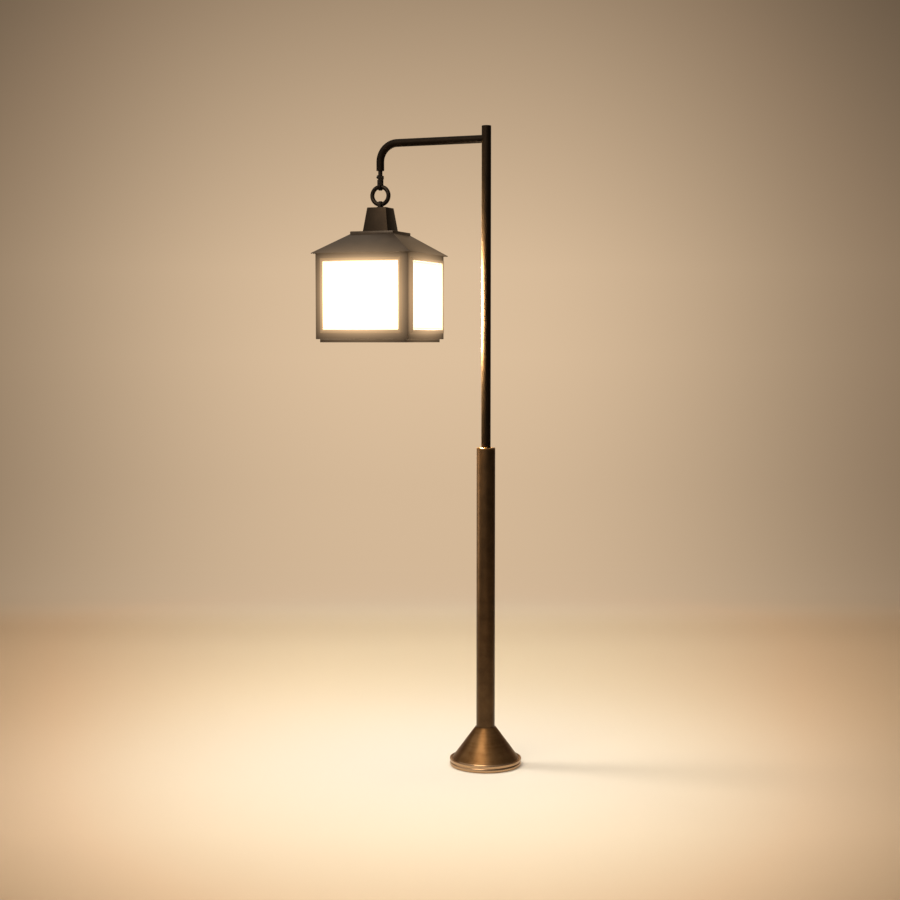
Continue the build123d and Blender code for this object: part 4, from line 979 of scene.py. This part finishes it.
def studio_world(stage):
    """The room's even light, brighter on the left and above, where a studio has its lights."""
    world = bpy.data.worlds.new("Studio")
    add = node_adder(world)
    way = add("TexCoord", out="Generated")
    leftward = add("VectorMath DOT_PRODUCT", way, (-0.85, -0.10, 0.45))
    level = add("MapRange", leftward, -0.5, 0.5, 0.22 * stage.world_strength, 1.65 * stage.world_strength,
                interpolation_type="SMOOTHSTEP")
    fill = add("Background", linear("#FFF4E4"), level)
    behind = add("Background", stage.wall_colour, 0.9)
    seen = add("LightPath", out="Is Camera Ray")
    add("OutputWorld", add("MixShader", seen, fill, behind))
    return world


def add_light(name, kind, power, hex_colour, place_m, lit=(), shading=()):
    """Adds a light. Where names are given, it lights only those objects, or only those shade it."""
    lamp = bpy.data.lights.new(name, kind)
    lamp.energy = power
    lamp.color = linear(hex_colour)
    light = into_scene(name, lamp)
    light.location = place_m
    for role, names in (("receiver_collection", lit), ("blocker_collection", shading)):
        if names:
            group = bpy.data.collections.new(name + " " + role)
            for each in names:
                group.objects.link(bpy.data.objects[each])
            setattr(light.light_linking, role, group)
    return light


def soft_light(name, power, hex_colour, place_m, target_m, size_m, lit=()):
    """Adds a rectangular soft light, aimed at a point."""
    light = add_light(name, "AREA", power, hex_colour, place_m, lit)
    light.data.shape = "RECTANGLE"
    light.data.size, light.data.size_y = size_m
    light.rotation_mode = "QUATERNION"
    light.rotation_quaternion = (Vector(target_m) - Vector(place_m)).to_track_quat("-Z", "Y")
    return light


class POSTLIGHT_OT_stage(bpy.types.Operator):
    """Makes the floor with its backdrop, the soft lights and the camera"""
    bl_idname = "post_light.stage"
    bl_label = "Stage"

    def execute(self, context):
        stage = settings_of(context).stage
        scene = context.scene
        lay_paper(stage)
        scene.world = studio_world(stage)
        paper = ("seamless_paper",)
        soft_light("Overhead softbox", stage.key_power, "#FFECD2", (-0.3, -2.2, 2.9), (-0.1, 0.7, 0.2),
                   (2.0, 2.0))
        soft_light("Floor softbox", stage.floor_power, "#FFF5E8", (0.1, 0.9, 3.2), (0.1, 1.0, 0.0), (2.0, 2.0),
                   paper)
        soft_light("Left softbox", stage.side_power, "#FFE6C4", (-2.9, -0.2, 0.4), (0.0, 0.0, 0.25), (1.6, 1.0),
                   ("thick_tube",))
        # The right pane's light on the post, and the lantern's own on the paper, which the post shades.
        pane_x = span("pane_right", 0)[1] + 4.0
        glow_z = PANE_MIDDLE_Z - 25.0
        on_post = soft_light("Light of the right pane", stage.glow_power, "#FFCF8E",
                             (pane_x * MM, 0.0, glow_z * MM), (0.0, 0.0, glow_z * MM), (0.18, 0.17),
                             ("thick_tube", "thin_tube", "post_top_bush"))
        on_post.visible_camera = False
        pool = add_light("Lantern pool", "POINT", stage.pool_power, "#FFF3E2",
                         (HANG_X * MM, -0.05, PANE_MIDDLE_Z * MM), paper,
                         ("thick_tube", "thin_tube", "cone_cover"))
        pool.data.shadow_soft_size = 0.055

        camera = into_scene("Camera", bpy.data.cameras.new("Camera"))
        camera.data.lens = CAMERA_LENS
        camera.data.sensor_width = 36.0
        camera.data.clip_start, camera.data.clip_end = 0.05, 60.0
        axes = Matrix((CAMERA_RIGHT, CAMERA_RIGHT.cross(CAMERA_FORWARD), -CAMERA_FORWARD))
        camera.rotation_mode = "QUATERNION"
        camera.rotation_quaternion = axes.transposed().to_quaternion()
        camera.location = CAMERA_PLACE_M
        scene.camera = camera
        scene.view_settings.view_transform = "Standard"
        return {"FINISHED"}


class POSTLIGHT_PT_panel(bpy.types.Panel):
    """Lists the pieces of the post light and their settings"""
    bl_idname = "POSTLIGHT_PT_panel"
    bl_label = "Garden Post Light"
    bl_space_type = "VIEW_3D"
    bl_region_type = "UI"
    bl_category = "Post Light"

    def draw(self, context):
        settings = context.scene.post_light
        for group in (settings.post, settings.lantern, settings.stage):
            box = self.layout.box()
            for name in group.__annotations__:
                box.prop(group, name)
        self.layout.prop(settings, "round_steps")
        for operator in OPERATORS:
            self.layout.operator(operator.bl_idname)


OPERATORS = (
    POSTLIGHT_OT_foot, POSTLIGHT_OT_cover, POSTLIGHT_OT_post, POSTLIGHT_OT_arm, POSTLIGHT_OT_hook,
    POSTLIGHT_OT_ring, POSTLIGHT_OT_roof, POSTLIGHT_OT_frame, POSTLIGHT_OT_glazing, POSTLIGHT_OT_engine,
    POSTLIGHT_OT_hatch, POSTLIGHT_OT_stage,
)
CLASSES = (PostSettings, LanternSettings, StageSettings, PostLightSettings, *OPERATORS, POSTLIGHT_PT_panel)


def register():
    for cls in CLASSES:
        bpy.utils.register_class(cls)
    bpy.types.Scene.post_light = PointerProperty(type=PostLightSettings)


def unregister():
    del bpy.types.Scene.post_light
    for cls in reversed(CLASSES):
        bpy.utils.unregister_class(cls)


def main():
    """Registers the add-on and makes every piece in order."""
    register()
    for operator in OPERATORS:
        group, name = operator.bl_idname.split(".")
        if getattr(getattr(bpy.ops, group), name)() != {"FINISHED"}:
            raise RuntimeError(operator.bl_label + " was not finished")


if __name__ == "__main__":
    main()
